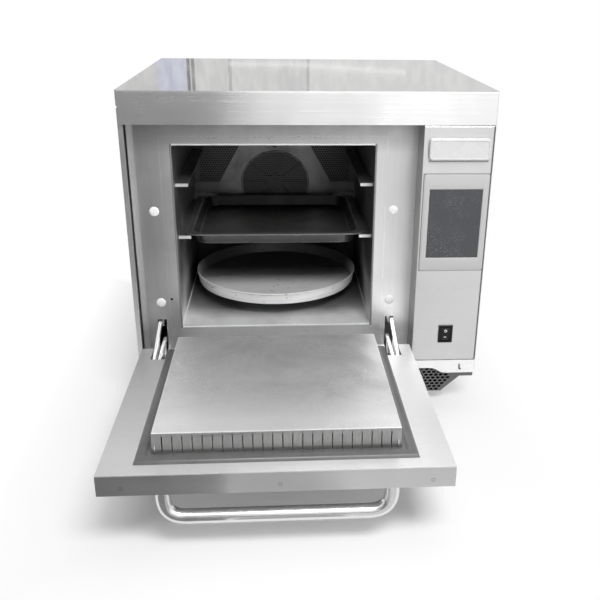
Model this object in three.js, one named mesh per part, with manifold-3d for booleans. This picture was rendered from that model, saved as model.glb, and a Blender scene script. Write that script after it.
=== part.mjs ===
// Countertop speed oven: a stainless cabinet with a drop-down door, a square cavity with a fan baffle,
// a baking tray and a round pan, a tall control panel on the right, and the works that heat and cool it.
// Units are millimetres. X runs to the right, Y to the back and Z up.
// The oven is drawn with Y zero on the front of the top cover and Z zero on the worktop,
// and the finished group is moved so that its origin is the middle of the footprint of the open oven.

import * as THREE from 'three'
import { mergeVertices } from 'three/addons/utils/BufferGeometryUtils.js'
import Module from 'manifold-3d'

const wasm = await Module()
wasm.setup()

// Sizes that drive the whole oven
const overall_height = 556
const cabinet_width = 590
const cabinet_depth = 540
const sheet = 1.5
const seat_gap = 0.3
const through = 5

// Flat sides and steps of round pieces, by how large they show
const hex_sides = 6
const tiny_round_sides = 8
const small_round_sides = 10
const pin_sides = 12
const spring_sides = 14
const round_sides = 16
const drum_sides = 20
const wheel_sides = 24
const fan_bore_sides = 28
const ring_sides = 32
const element_ring_sides = 36
const stand_ring_sides = 40
const pan_sides = 56
const corner_steps = 6
const tray_corner_steps = 4
const handle_quarter_steps = 7
const weld_gap = 1e-4
const same_point_gap = 1e-3

// Top cover
const cover_inset = 3
const lip_height = 50.5
const lip_hem = 8
const cover_side_flange = 24

// Side and rear panels
const side_set_back = 7
const side_strip_width = 7.5
const side_seam = 3
const side_top_return = 20
const rear_vent_count = 9
const rear_vent_length = 150
const rear_vent_height = 6
const rear_vent_pitch = 16

// Base tray, intake grille, trim and feet
const foot_height = 22
const foot_radius = 20
const foot_top_radius = 16
const foot_inset_x = 105
const foot_front_y = 110
const foot_rear_inset = 60
const keel_height = 49
const keel_wing = 13
const keel_shoulder_inset = 25
const keel_bottom_inset = 55
const grille_top_y = 4
const grille_slope_run = 20
const grille_rise = 12
const grille_slot_end = 30
const grille_slot_pitch = 34
const grille_slot_width = 20
const grille_slot_height = 8
const grille_slot_rows = 2
const trim_height = 24.7
const trim_cut_depth = 10
const trim_cut_end = 50
const trim_cut_run = 30

// Recess and front plate
const recess_depth = 50
const hinge_slot_width = 15
const hinge_slot_height = 79
const hinge_slot_above_pin = 60.4
const sensor_hole_radius = 2.5
const sensor_inset = 15
const sensor_rise = 52.5
const ledge_drop = 10
const chassis_front_gap = 52.5

// Cavity
const opening_side_gap = 72
const opening_panel_gap = 69
const opening_drop = 40
const opening_rise = 75
const rear_bay_depth = 103
const fan_chamber_depth = 45
const insulation_wall = 20
const insulation_gap = 1
const insulation_front = 4
const ceiling_window_width = 120
const ceiling_window_depth = 80

// Rails, tray, pan and stand
const rail_width = 21
const rail_height = 5
const rail_front_gap = 28.5
const rail_back_gap = 13.5
const upper_rail_drop = 70.5
const lower_rail_drop = 161.5
const tray_side_gap = 9.1
const tray_front_gap = 27
const tray_back_gap = 26
const tray_depth = 20
const tray_wall_lean = 5
const tray_wall = 1.2
const tray_rim = 12.6
const tray_rim_height = 2.6
const tray_rim_corner = 24
const tray_corner = 26
const pan_side_gap = 12.5
const pan_front_gap = 29
const pan_back_gap = 5
const pan_height = 22
const pan_wall = 1.6
const pan_rim = 3
const pan_draft = 3
const pan_rim_height_above_floor = 48.4
const stand_inset = 80
const stand_wire = 2.5
const stand_leg_radius = 4
const stand_leg_count = 4

// Back baffle
const baffle_sheet = 1.2
const intake_radius = 70
const fan_axis_drop_share = 0.457903
const intake_ring = 6
const intake_hole_radius = 6
const intake_hole_ring_pitch = 20
const intake_hole_spacing = 26
const side_vent_gap = 5.5
const side_vent_narrowing = 27
const side_vent_height = 120
const side_vent_inset = 14
const side_vent_drop = 67
const side_vent_hole_radius = 6
const side_vent_hole_pitch = 25
const baffle_screw_radius = 3.5
const baffle_screw_rise = 6

// Control panel
const panel_width = 113
const panel_corner = 3
const display_bezel_height = 163
const display_bezel_drop = 77.5
const display_bezel_inset = 3.5
const display_bezel_end = 2.5
const display_bezel_thickness = 1.6
const display_bezel_corner = 4
const screen_height = 115.2
const screen_drop = 25
const screen_inset = 10.5
const screen_end = 10.1
const screen_thickness = 4
const screen_fit = 0.5
const badge_height = 34.5
const badge_thickness = 8
const badge_drop = 20
const badge_inset = 8
const badge_end = 6
const badge_corner = 6
const switch_width = 24.8
const switch_height = 31.8
const switch_rise = 35.4
const switch_inset = 44.2
const switch_frame = 3.2
const switch_proud = 1.8
const switch_body_depth = 24
const switch_body_inset = 2
const switch_hole_inset = 1
const rocker_lower_lean_share = 1.2
const rocker_taper_share = 0.8
const rocker_swing_deg = 14
const board_thickness = 1.6
const board_gap = 8
const board_standoff_radius = 3

// Door
const door_side_gap = 9.5
const door_panel_gap = 6.5
const door_bottom_gap = 21.9
const door_thickness = 30
const door_top_gap = 3.1
const door_open_tilt_deg = 1.2
const hinge_below_door = 17.3
const hinge_to_inner_face = 29.2
const gasket_height = 7.4
const gasket_press_gap = 0.6
const gasket_band = 19
const gasket_side_band = 22.5
const choke_height = 34
const choke_clearance_side = 3.8
const choke_clearance_bottom = 2.8
const choke_clearance_top = 5
const choke_slot_count = 24
const choke_slot_width = 1.8
const choke_tooth_gap = 2.5
const notch_width = 24
const notch_length = 43.7
const notch_depth = 14
const handle_radius = 10
const handle_bore = 8
const handle_inset = 79
const handle_stand_off = 50
const handle_from_top = 23
const handle_bend = 30
const handle_step = 8

// Door hinge
const pin_radius = 4
const pin_clearance = 0.4
const pin_seat = 1
const lug_radius = 8
const lug_thickness = 4
const arm_thickness = 5
const arm_half_height = 4
const arm_gap = 3
const arm_reach_w = 57
const arm_reach_u = -45
const arm_entry_w = 22.5
const arm_entry_u = 61
const lever_tip_w = 29
const lever_tip_u = -24
const lever_entry_w = 21
const lever_half_height = 3.5
const lever_web_width = 16
const arm_foot_length = 22
const spring_anchor_reach = 250
const spring_pin_radius = 2.5
const spring_slot_half_height = 7.5
const spring_slot_length = 30
const spring_plate = 2.4
const spring_radius = 5.5
const spring_length = 78
const spring_rail_height = 2.5

// Works
const fan_radius = 72
const fan_hub_radius = 16
const fan_depth = 26
const fan_rear_gap = 10
const fan_blade_count = 10
const fan_blade_thickness = 1.6
const fan_blade_root = 1
const fan_shaft_radius = 4
const shaft_room = 1
const motor_radius = 42
const motor_length = 62
const motor_flange = 4
const element_radius = 96
const element_tube = 4
const element_turn_gap = 14
const probe_radius = 2.5
const probe_length = 46
const waveguide_height = 40
const waveguide_wall = 1.5
const waveguide_depth = 86
const waveguide_overhang = 66
const waveguide_end = 28
const stirrer_radius = 36
const stirrer_blade = 1.5
const stirrer_vane_count = 4
const stirrer_vane_pitch_deg = 22.5
const stirrer_shaft_radius = 3
const stirrer_motor_radius = 20
const stirrer_motor_height = 13
const magnetron_size = 92
const magnetron_height = 76
const magnetron_antenna_radius = 9
const magnetron_antenna_height = 18
const magnetron_fin_slots = 5
const transformer_width = 96
const transformer_depth = 118
const transformer_height = 86
const transformer_coil_bulge = 14
const transformer_gap = 46
const capacitor_radius = 26
const capacitor_length = 92
const cooling_fan_size = 120
const cooling_fan_depth = 25
const cooling_fan_bore = 56
const cooling_fan_hub = 18
const cooling_fan_blade_count = 7
const cooling_fan_blade_pitch_deg = 36
const catalyst_width = 110
const catalyst_depth = 90
const catalyst_height = 34
const duct_radius = 18
const duct_wall = 1.2
const flue_stub_clearance = 1
const gland_radius = 14
const gland_length = 20
const gland_bore = 6
const gland_height = 40

// Ranges along an axis
const span = (start, length) => [start, start + length]
const centred = (middle, length) => [middle - length / 2, middle + length / 2]
const mirrored = (range, mirror_x) => [2 * mirror_x - range[1], 2 * mirror_x - range[0]]
const widened = (range, margin) => [range[0] - margin, range[1] + margin]

// Values worked out from the sizes above
const half_width = cabinet_width / 2
const inner_half_width = half_width - sheet
const cover_half_width = half_width - cover_inset
const top_z = overall_height
const lip_bottom_z = top_z - lip_height
const cover_flange_z = top_z - cover_side_flange
const side_top_z = cover_flange_z - side_seam
const base_z = foot_height + keel_height
const panel_left_x = cover_half_width - panel_width
const panel_bottom_z = base_z + trim_height + seat_gap
const rear_inner_y = cabinet_depth - sheet
const opening_left_x = -half_width + opening_side_gap
const opening_right_x = panel_left_x - opening_panel_gap
const opening_centre_x = (opening_left_x + opening_right_x) / 2
const opening_width = opening_right_x - opening_left_x
const sensor_x = opening_left_x - sensor_inset
const opening_top_z = lip_bottom_z - opening_drop
const opening_bottom_z = base_z + opening_rise
const opening_height = opening_top_z - opening_bottom_z
const plate_back_y = recess_depth + sheet
const liner_back_y = cabinet_depth - rear_bay_depth
const baffle_y = liner_back_y - fan_chamber_depth
const cavity_depth = baffle_y - recess_depth
const liner_top_z = opening_top_z + sheet
const liner_bottom_z = opening_bottom_z - sheet
const jacket_left_x = opening_left_x - sheet - insulation_gap - insulation_wall
const jacket_right_x = opening_right_x + sheet + insulation_gap + insulation_wall
const jacket_top_z = liner_top_z + insulation_gap + insulation_wall
const jacket_bottom_z = liner_bottom_z - insulation_gap - insulation_wall
const jacket_back_y = liner_back_y + sheet + insulation_gap + insulation_wall
const fan_axis_z = opening_top_z - opening_height * fan_axis_drop_share
const fan_axis_x = opening_centre_x
const sensor_z = opening_bottom_z + sensor_rise
const rail_y = [recess_depth + rail_front_gap, baffle_y - rail_back_gap]
const tray_y = [recess_depth + tray_front_gap, baffle_y - tray_back_gap]
const pan_room = Math.min(opening_width - 2 * pan_side_gap, cavity_depth - pan_front_gap - pan_back_gap)
const pan_radius = pan_room / 2
const pan_y = recess_depth + pan_front_gap + pan_radius
const stand_radius = pan_radius - stand_inset
const transformer_y = span(recess_depth + transformer_gap, transformer_depth)
const chassis_z = base_z + sheet
const chassis_front_y = recess_depth + chassis_front_gap
const bay_centre_x = (jacket_right_x + inner_half_width) / 2 + hinge_slot_width / 2
const rear_extent = cabinet_depth + gland_length

// The door is drawn shut, with its hinge axis as its own zero: X across, Y into the oven, Z up.
const door_left_x = -half_width + door_side_gap
const door_right_x = panel_left_x - door_panel_gap
const hinge_z = panel_bottom_z + door_bottom_gap - hinge_below_door
const door_bottom_u = hinge_below_door
const door_top_u = lip_bottom_z - door_top_gap - hinge_z
const handle_x = [door_left_x + handle_inset, door_right_x - handle_inset]
const door_inner_w = hinge_to_inner_face
const door_outer_w = door_inner_w - door_thickness
const hinge_y = recess_depth - gasket_height - gasket_press_gap - hinge_to_inner_face
const open_angle = THREE.MathUtils.degToRad(90 - door_open_tilt_deg)
const choke_bottom_u = opening_bottom_z + choke_clearance_bottom - hinge_z
const choke_top_u = opening_top_z - choke_clearance_top - hinge_z
const choke_half_width = opening_width / 2 - choke_clearance_side
const gasket_half_width = choke_half_width + gasket_side_band
const gasket_bottom_u = choke_bottom_u - gasket_band
const gasket_top_u = choke_top_u + gasket_band
const door_front_y = hinge_y + door_outer_w * Math.cos(open_angle) - door_top_u * Math.sin(open_angle)
const mid_y = (rear_extent + door_front_y) / 2

// Finishes
const finish = (colour, roughness, metalness) =>
  new THREE.MeshStandardMaterial({ color: colour, roughness, metalness })
const brushed_steel = finish(0xb9b9b8, 0.35, 1)
const bright_steel = finish(0xd2d2d0, 0.15, 1)
const cavity_steel = finish(0x6f6c6a, 0.45, 1)
const galvanised = finish(0xa3a7a8, 0.5, 0.9)
const dark_tray_steel = finish(0x3a3836, 0.45, 0.9)
const aluminium = finish(0xc4c4c2, 0.4, 1)
const seal_grey = finish(0x4b4b4c, 0.7, 0)
const rubber_black = finish(0x1b1b1b, 0.85, 0)
const grey_plastic = finish(0xc3c4c6, 0.4, 0)
const black_plastic = finish(0x141414, 0.4, 0)
const screen_glass = finish(0x515357, 0.2, 0)
const glass_wool = finish(0xc9c2ae, 0.95, 0)
const board_green = finish(0x2d5a3c, 0.6, 0)
const winding_copper = finish(0x9b5a35, 0.45, 0.8)
const ceramic_grey = finish(0xa59f93, 0.8, 0)

// Shape helpers
function solid(geometry) {
  const bare = geometry.index ? geometry.toNonIndexed() : geometry.clone()
  bare.deleteAttribute('normal')
  bare.deleteAttribute('uv')
  const merged = mergeVertices(bare, weld_gap)
  return new wasm.Manifold(new wasm.Mesh({
    numProp: 3,
    vertProperties: new Float32Array(merged.attributes.position.array),
    triVerts: new Uint32Array(merged.index.array)
  }))
}

function geometryOf(shape) {
  const mesh = shape.getMesh()
  const geometry = new THREE.BufferGeometry()
  geometry.setAttribute('position', new THREE.BufferAttribute(new Float32Array(mesh.vertProperties), 3))
  geometry.setIndex(new THREE.BufferAttribute(new Uint32Array(mesh.triVerts), 1))
  geometry.computeVertexNormals()
  return geometry
}

function block(x, y, z) {
  const geometry = new THREE.BoxGeometry(x[1] - x[0], y[1] - y[0], z[1] - z[0])
  geometry.translate((x[0] + x[1]) / 2, (y[0] + y[1]) / 2, (z[0] + z[1]) / 2)
  return solid(geometry)
}

// A round bar between two values of one axis; a and b are its centre on the other two, in X, Y, Z order
function bar(axis, range, a, b, radius, sides = round_sides, end_radius = radius) {
  const geometry = new THREE.CylinderGeometry(end_radius, radius, range[1] - range[0], sides)
  const middle = (range[0] + range[1]) / 2
  if (axis === 'x') {
    geometry.rotateZ(-Math.PI / 2)
    geometry.translate(middle, a, b)
  } else if (axis === 'y') {
    geometry.translate(a, middle, b)
  } else {
    geometry.rotateX(Math.PI / 2)
    geometry.translate(a, b, middle)
  }
  return solid(geometry)
}

const outlineOf = points =>
  points instanceof THREE.Shape ? points : new THREE.Shape(points.map(p => new THREE.Vector2(...p)))

// An outline in X and Z pushed along Y
function slabY(points, y, curve_steps = corner_steps) {
  const outline = outlineOf(points)
  const geometry = new THREE.ExtrudeGeometry(outline, {
    depth: y[1] - y[0], bevelEnabled: false, curveSegments: curve_steps
  })
  geometry.rotateX(Math.PI / 2)
  geometry.translate(0, y[1], 0)
  return solid(geometry)
}

// An outline in Y and Z pushed along X
function slabX(points, x, curve_steps = corner_steps) {
  const outline = outlineOf(points)
  const geometry = new THREE.ExtrudeGeometry(outline, {
    depth: x[1] - x[0], bevelEnabled: false, curveSegments: curve_steps
  })
  const swap = new THREE.Matrix4().set(0, 0, 1, x[0], 1, 0, 0, 0, 0, 1, 0, 0, 0, 0, 0, 1)
  geometry.applyMatrix4(swap)
  return solid(geometry)
}

function roundedOutline(x, z, radius) {
  const shape = new THREE.Shape()
  shape.moveTo(x[0] + radius, z[0])
  shape.lineTo(x[1] - radius, z[0])
  shape.absarc(x[1] - radius, z[0] + radius, radius, -Math.PI / 2, 0)
  shape.lineTo(x[1], z[1] - radius)
  shape.absarc(x[1] - radius, z[1] - radius, radius, 0, Math.PI / 2)
  shape.lineTo(x[0] + radius, z[1])
  shape.absarc(x[0] + radius, z[1] - radius, radius, Math.PI / 2, Math.PI)
  shape.lineTo(x[0], z[0] + radius)
  shape.absarc(x[0] + radius, z[0] + radius, radius, Math.PI, Math.PI * 1.5)
  return shape
}

const join = (first, ...rest) => rest.reduce((whole, piece) => whole.add(piece), first)
const cut = (first, ...rest) => rest.reduce((whole, piece) => whole.subtract(piece), first)

const oven = new THREE.Group()
oven.position.y = -mid_y
const door = new THREE.Group()
door.position.set(0, hinge_y, hinge_z)
door.rotation.x = open_angle
oven.add(door)

function place(name, shape, material, parent = oven) {
  const mesh = new THREE.Mesh(geometryOf(shape), material)
  mesh.name = name
  parent.add(mesh)
  return mesh
}

// Top cover: one folded sheet with a deep front lip, side flanges and a rear flange
function topCover() {
  const front_x = [-cover_half_width, cover_half_width]
  const x = [-half_width, half_width]
  const y = [side_set_back, cabinet_depth]
  const top = join(
    block(front_x, [0, side_set_back + sheet], [top_z - sheet, top_z]),
    block(x, y, [top_z - sheet, top_z]))
  const lip = block(front_x, [0, sheet], [lip_bottom_z, top_z])
  const hem = block(front_x, [0, lip_hem], span(lip_bottom_z, sheet))
  const left = block([-half_width, -inner_half_width], y, [cover_flange_z, top_z])
  const right = block([inner_half_width, half_width], y, [cover_flange_z, top_z])
  const rear = block(x, [rear_inner_y, cabinet_depth], [cover_flange_z, top_z])
  place('top_cover', join(top, lip, hem, left, right, rear), brushed_steel)
}

// Side panels: a flat sheet with a return along its top, and on the left a narrow front strip
function sidePanel(name, side, front_strip) {
  const wall = side < 0 ? [-half_width, -inner_half_width] : [inner_half_width, half_width]
  const y = [side_set_back, rear_inner_y - seat_gap]
  const z = [base_z + seat_gap, side_top_z]
  const inward = side < 0 ? [wall[0], wall[0] + side_top_return] : [wall[1] - side_top_return, wall[1]]
  const top_return = block(inward, [plate_back_y + seat_gap, y[1]], [z[1] - sheet, z[1]])
  let panel = join(block(wall, y, z), top_return)
  if (front_strip) {
    const strip_z = [base_z + grille_rise + seat_gap, lip_bottom_z - seat_gap]
    panel = join(panel, block(span(-half_width, side_strip_width), span(side_set_back, sheet), strip_z))
  }
  place(name, panel, brushed_steel)
}

// Rear panel with a stack of cooling slots, the flue hole and the hole for the mains gland
function rearPanel() {
  const z = [base_z + seat_gap, cover_flange_z - seat_gap]
  let panel = block([-half_width, half_width], [rear_inner_y, cabinet_depth], z)
  const first_z = base_z + 4 * rear_vent_pitch
  for (let i = 0; i < rear_vent_count; i += 1) {
    const slot_z = centred(first_z + i * rear_vent_pitch, rear_vent_height)
    const slot_x = [inner_half_width - rear_vent_pitch - rear_vent_length, inner_half_width - rear_vent_pitch]
    panel = cut(panel, block(slot_x, [rear_inner_y - through, cabinet_depth + through], slot_z))
  }
  const hole_y = [rear_inner_y - through, cabinet_depth + through]
  panel = cut(panel,
    bar('y', hole_y, duct_x, duct_z, duct_radius + seat_gap, drum_sides),
    bar('y', hole_y, gland_x, gland_z, gland_radius / 2 + seat_gap))
  place('rear_panel', panel, brushed_steel)
}

const duct_x = opening_left_x + catalyst_width / 2
const duct_z = jacket_top_z + seat_gap + catalyst_height / 2 + duct_wall * 2
const gland_x = -half_width + 3 * gland_radius
const gland_z = base_z + gland_height

// Chassis floor, with a post on each side that carries the rear eye of the door spring
function chassisFloor() {
  const y = [chassis_front_y, rear_inner_y - seat_gap]
  let floor = block([-inner_half_width + seat_gap, inner_half_width - seat_gap], y, [base_z, chassis_z])
  const fan_centre = coolingFanCentre()
  const cut_z = [base_z - through, chassis_z + through]
  floor = cut(floor, bar('z', cut_z, ...fan_centre, cooling_fan_bore, wheel_sides))
  for (const side of hingeSides()) {
    const post_x = side.spring_post
    const post = block(post_x, centred(anchor_y, lug_radius * 2), [base_z, anchor_z + lug_radius])
    const anchor_pin = bar('x', side.anchor_pin, anchor_y, anchor_z, spring_pin_radius, pin_sides)
    const link_x = (side.link[0] + side.link[1]) / 2
    const spring_room = block(centred(link_x, 2 * spring_radius + 2 * spring_rail_height),
      [y[0] - through, anchor_y - spring_length - 3 * lug_radius], cut_z)
    floor = join(cut(floor, spring_room), post, anchor_pin)
  }
  place('chassis_floor', floor, galvanised)
}

const coolingFanCentre = () => [bay_centre_x, rear_inner_y - cooling_fan_size / 2 - 3 * through]

// Keel-shaped base tray, open at the top and at the front, where the grille closes it
function keelOutline(inset, overrun) {
  const wing_z = base_z - keel_wing + inset
  const bottom_z = foot_height + inset
  const wall = inner_half_width + sheet - seat_gap - inset
  const shoulder = half_width - keel_shoulder_inset
  const bottom = half_width - keel_bottom_inset
  const top = base_z - seat_gap + overrun
  return [[-bottom, bottom_z], [bottom, bottom_z], [shoulder, wing_z], [wall, wing_z], [wall, top],
    [-wall, top], [-wall, wing_z], [-shoulder, wing_z]]
}

const grilleY = z =>
  grille_top_y + grille_slope_run * (base_z + grille_rise - z) / (keel_height + grille_rise)

function baseTray() {
  const front = grilleY(foot_height) + sheet + seat_gap
  const rear = rear_inner_y - seat_gap
  const tray = cut(
    slabY(keelOutline(0, 0), [front, rear]),
    slabY(keelOutline(sheet, through), [front - through, rear - sheet]))
  place('base_tray', tray, galvanised)
}

// Intake grille: a sheet that leans back under the front trim and closes the front of the base tray
function intakeGrille() {
  const top = base_z + grille_rise
  const y_top = grilleY(top)
  const y_bottom = grilleY(foot_height)
  const leaning = slabX([[y_top, top], [y_top + sheet, top], [y_bottom + sheet, foot_height],
    [y_bottom, foot_height]], [-half_width, half_width])
  const wing_z = base_z - keel_wing
  const shoulder = half_width - keel_shoulder_inset
  const bottom = half_width - keel_bottom_inset
  const wall = inner_half_width
  const outline = [
    [-bottom, 0], [bottom, 0], [bottom, foot_height], [shoulder, wing_z], [wall, wing_z],
    [wall, top + through], [-wall, top + through], [-wall, wing_z], [-shoulder, wing_z],
    [-bottom, foot_height]]
  let grille = leaning.intersect(slabY(outline, [-through, recess_depth]))
  const slot_count = Math.floor(2 * (bottom - grille_slot_end) / grille_slot_pitch)
  for (let row = 0; row < grille_slot_rows; row += 1) {
    const z = centred(foot_height + keel_height * (row + 1) / (grille_slot_rows + 1), grille_slot_height)
    const count = slot_count - row % 2
    for (let i = 0; i < count; i += 1) {
      const x = centred((i - (count - 1) / 2) * grille_slot_pitch, grille_slot_width)
      grille = cut(grille, block(x, [0, recess_depth], z))
    }
  }
  place('intake_grille', grille, brushed_steel)
}

// Front trim under the panel and door, with its lower edge cut away between two flowing curves
function bottomTrim() {
  const z = span(base_z, trim_height)
  const edge = cover_half_width
  const cut_z = z[0] + trim_cut_depth
  const shape = new THREE.Shape()
  shape.moveTo(-edge, z[0])
  shape.lineTo(-edge + trim_cut_end, z[0])
  shape.bezierCurveTo(-edge + trim_cut_end + trim_cut_run / 2, z[0],
    -edge + trim_cut_end + trim_cut_run / 2, cut_z, -edge + trim_cut_end + trim_cut_run, cut_z)
  shape.lineTo(edge - trim_cut_end - trim_cut_run, cut_z)
  shape.bezierCurveTo(edge - trim_cut_end - trim_cut_run / 2, cut_z,
    edge - trim_cut_end - trim_cut_run / 2, z[0], edge - trim_cut_end, z[0])
  shape.lineTo(edge, z[0])
  shape.lineTo(edge, z[1])
  shape.lineTo(-edge, z[1])
  const face = slabY(shape, [0, sheet])
  const stay_z = [z[1] - ledge_drop - sheet, z[1] - ledge_drop]
  const stay = block([-edge + sheet, edge - sheet], [0, grille_top_y - seat_gap], stay_z)
  place('bottom_trim', join(face, stay), brushed_steel)
}

function feet() {
  const x = half_width - foot_inset_x
  const rows = { front: foot_front_y, rear: cabinet_depth - foot_rear_inset }
  for (const [row, y] of Object.entries(rows)) {
    for (const [side, sign] of [['left', -1], ['right', 1]]) {
      const z = [0, foot_height - seat_gap]
      const foot = bar('z', z, sign * x, y, foot_radius, wheel_sides, foot_top_radius)
      place(`foot_${row}_${side}`, foot, rubber_black)
    }
  }
}

// Recessed front plate with the oven opening, hinge slots and returns above and below the door
function frontPlate() {
  const z = [chassis_z, top_z - 2 * sheet]
  const y = [recess_depth, plate_back_y]
  let plate = block([-inner_half_width + seat_gap, inner_half_width - seat_gap], y, z)
  const ceiling_z = span(lip_bottom_z + sheet + seat_gap, sheet)
  const ledge_z = [panel_bottom_z - ledge_drop - sheet, panel_bottom_z - ledge_drop]
  const bay_x = [-inner_half_width + seat_gap, panel_left_x - seat_gap]
  plate = join(plate,
    block(bay_x, [side_set_back + 2 * sheet, recess_depth + seat_gap], ceiling_z),
    block(bay_x, [grille_top_y + 3 * sheet, recess_depth + seat_gap], ledge_z))
  const cut_y = [recess_depth - through, plate_back_y + through]
  plate = cut(plate, block([opening_left_x, opening_right_x], cut_y, [opening_bottom_z, opening_top_z]))
  const slot_top = hinge_z + hinge_slot_above_pin
  for (const side of hingeSides()) {
    plate = cut(plate,
      block(side.slot, cut_y, [slot_top - hinge_slot_height, slot_top]),
      block(side.ledge_gap, [recess_depth / 2, recess_depth - seat_gap],
        [ledge_z[0] - through, ledge_z[1] + through]))
  }
  plate = cut(plate, bar('y', cut_y, sensor_x, sensor_z, sensor_hole_radius, pin_sides))
  place('front_plate', plate, brushed_steel)
}

// Reed switch behind the small hole, which tells that the door is shut
function doorSwitch() {
  const body = block(
    centred(sensor_x, 2 * sensor_hole_radius + 2 * sheet),
    span(plate_back_y + seat_gap, 2 * insulation_front),
    centred(sensor_z, 6 * sensor_hole_radius))
  place('door_switch', body, black_plastic)
}

// Control panel: a folded box with its back open
function controlPanel() {
  const x = [panel_left_x, cover_half_width]
  const z = [panel_bottom_z, lip_bottom_z - seat_gap]
  const outer = slabX(roundedFront(z), x)
  const inner = block([x[0] + sheet, x[1] - sheet], [sheet, recess_depth], [z[0] + sheet, z[1] - sheet])
  const screen = screenFrame()
  const rocker = switchFrame()
  const cut_y = [-through, 3 * sheet]
  const panel = cut(outer, inner,
    block(widened(screen.x, screen_fit), cut_y, widened(screen.z, screen_fit)),
    block(widened(rocker.x, -switch_hole_inset), cut_y, widened(rocker.z, -switch_hole_inset)))
  place('control_panel', panel, brushed_steel)
}

// The panel's section in Y and Z: flat front, small round at the top and bottom edges
function roundedFront(z) {
  const back = recess_depth - seat_gap
  const shape = new THREE.Shape()
  shape.moveTo(back, z[0])
  shape.lineTo(back, z[1])
  shape.lineTo(panel_corner, z[1])
  shape.absarc(panel_corner, z[1] - panel_corner, panel_corner, Math.PI / 2, Math.PI)
  shape.lineTo(0, z[0] + panel_corner)
  shape.absarc(panel_corner, z[0] + panel_corner, panel_corner, Math.PI, Math.PI * 1.5)
  return shape
}

function bezelFrame() {
  const top = lip_bottom_z - display_bezel_drop
  return {
    x: [panel_left_x + display_bezel_inset, cover_half_width - display_bezel_end],
    z: [top - display_bezel_height, top]
  }
}

function screenFrame() {
  const bezel = bezelFrame()
  const top = bezel.z[1] - screen_drop
  return { x: [bezel.x[0] + screen_inset, bezel.x[1] - screen_end], z: [top - screen_height, top] }
}

function switchFrame() {
  const bottom = panel_bottom_z + switch_rise
  return { x: span(panel_left_x + switch_inset, switch_width), z: span(bottom, switch_height) }
}

function badgePlate() {
  const top = lip_bottom_z - badge_drop
  const x = [panel_left_x + badge_inset, cover_half_width - badge_end]
  const outline = roundedOutline(x, [top - badge_height, top], badge_corner)
  place('badge_plate', slabY(outline, [-seat_gap - badge_thickness, -seat_gap]), grey_plastic)
}

function display() {
  const bezel = bezelFrame()
  const screen = screenFrame()
  const front = -seat_gap - display_bezel_thickness
  const frame = slabY(roundedOutline(bezel.x, bezel.z, display_bezel_corner), [front, -seat_gap])
  const window = block(widened(screen.x, seat_gap), [-through, through], widened(screen.z, seat_gap))
  place('display_bezel', cut(frame, window), grey_plastic)
  const glass = block(screen.x, span(front + seat_gap, screen_thickness + sheet), screen.z)
  place('touch_screen', glass, screen_glass)
}

// Mains rocker: a bezel with a deep body behind the panel, and a rocker that tilts about its middle
function mainsSwitch() {
  const frame = switchFrame()
  const y = [-seat_gap - switch_proud, -seat_gap]
  const middle_x = (frame.x[0] + frame.x[1]) / 2
  const pocket = block(widened(frame.x, -switch_frame), [y[0] - through, switch_body_depth / 2],
    widened(frame.z, -switch_frame))
  const body = block(widened(frame.x, -switch_body_inset), [y[0], switch_body_depth],
    widened(frame.z, -switch_body_inset))
  place('switch_bezel', cut(join(block(frame.x, y, frame.z), body), pocket), black_plastic)
  const half = (switch_height - 2 * switch_frame) / 2 - 2 * seat_gap
  const lean = half * Math.tan(THREE.MathUtils.degToRad(rocker_swing_deg / 2))
  const taper = half * rocker_taper_share
  const rocker = slabX([
    [y[0] - lean, half],
    [y[0] + lean * rocker_lower_lean_share, -half],
    [switch_proud + lean, -taper],
    [switch_body_depth / 3, 0],
    [switch_proud - lean, taper]],
  centred(0, switch_width - 2 * switch_frame - 2 * seat_gap))
  const mesh = place('rocker_switch', rocker, black_plastic)
  mesh.position.set(middle_x, 0, (frame.z[0] + frame.z[1]) / 2)
}

// Control board on four standoffs behind the display
function controlBoard() {
  const bezel = bezelFrame()
  const y = board_gap + screen_thickness
  const x = widened(bezel.x, -2 * board_standoff_radius)
  const z = bezel.z
  const standoff_y = [sheet + seat_gap, y + board_thickness]
  let board = block(x, span(y, board_thickness), z)
  for (const sx of widened(x, -board_standoff_radius)) {
    for (const sz of widened(z, -board_standoff_radius)) {
      board = join(board, bar('y', standoff_y, sx, sz, board_standoff_radius, small_round_sides))
    }
  }
  const chips = block(
    centred((x[0] + x[1]) / 2, (x[1] - x[0]) / 2),
    span(y + board_thickness / 2, board_gap),
    centred((z[0] + z[1]) / 2, screen_height / 3))
  place('control_board', join(board, chips), board_green)
}

// Cavity liner: a box open to the front, with a hole for the fan shaft, flue, probe and ceiling window
function cavityLiner() {
  const x = [opening_left_x, opening_right_x]
  const y = [plate_back_y + seat_gap, liner_back_y + sheet]
  const outer = block([x[0] - sheet, x[1] + sheet], y, [liner_bottom_z, liner_top_z])
  const inner = block(x, [y[0] - through, liner_back_y], [opening_bottom_z, opening_top_z])
  const window = windowFrame()
  const hole_y = [liner_back_y - through, y[1] + through]
  const liner = cut(outer, inner,
    block(window.x, window.y, [opening_top_z - through, liner_top_z + through]),
    bar('y', hole_y, fan_axis_x, fan_axis_z, fan_shaft_radius + shaft_room, pin_sides),
    bar('z', [opening_top_z - through, liner_top_z + through], duct_x, flue_y, duct_radius),
    bar('x', [x[1] - through, x[1] + sheet + through], probe_y, probe_z, probe_radius + seat_gap,
      small_round_sides))
  place('cavity_liner', liner, cavity_steel)
}

const window_y = recess_depth + cavity_depth / 2
const windowFrame = () => ({
  x: centred(opening_centre_x, ceiling_window_width),
  y: centred(window_y, ceiling_window_depth)
})
const flue_y = liner_back_y - catalyst_depth / 2 - 2 * duct_radius
const probe_y = baffle_y - 2 * duct_radius
const probe_z = opening_top_z - duct_radius

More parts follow.
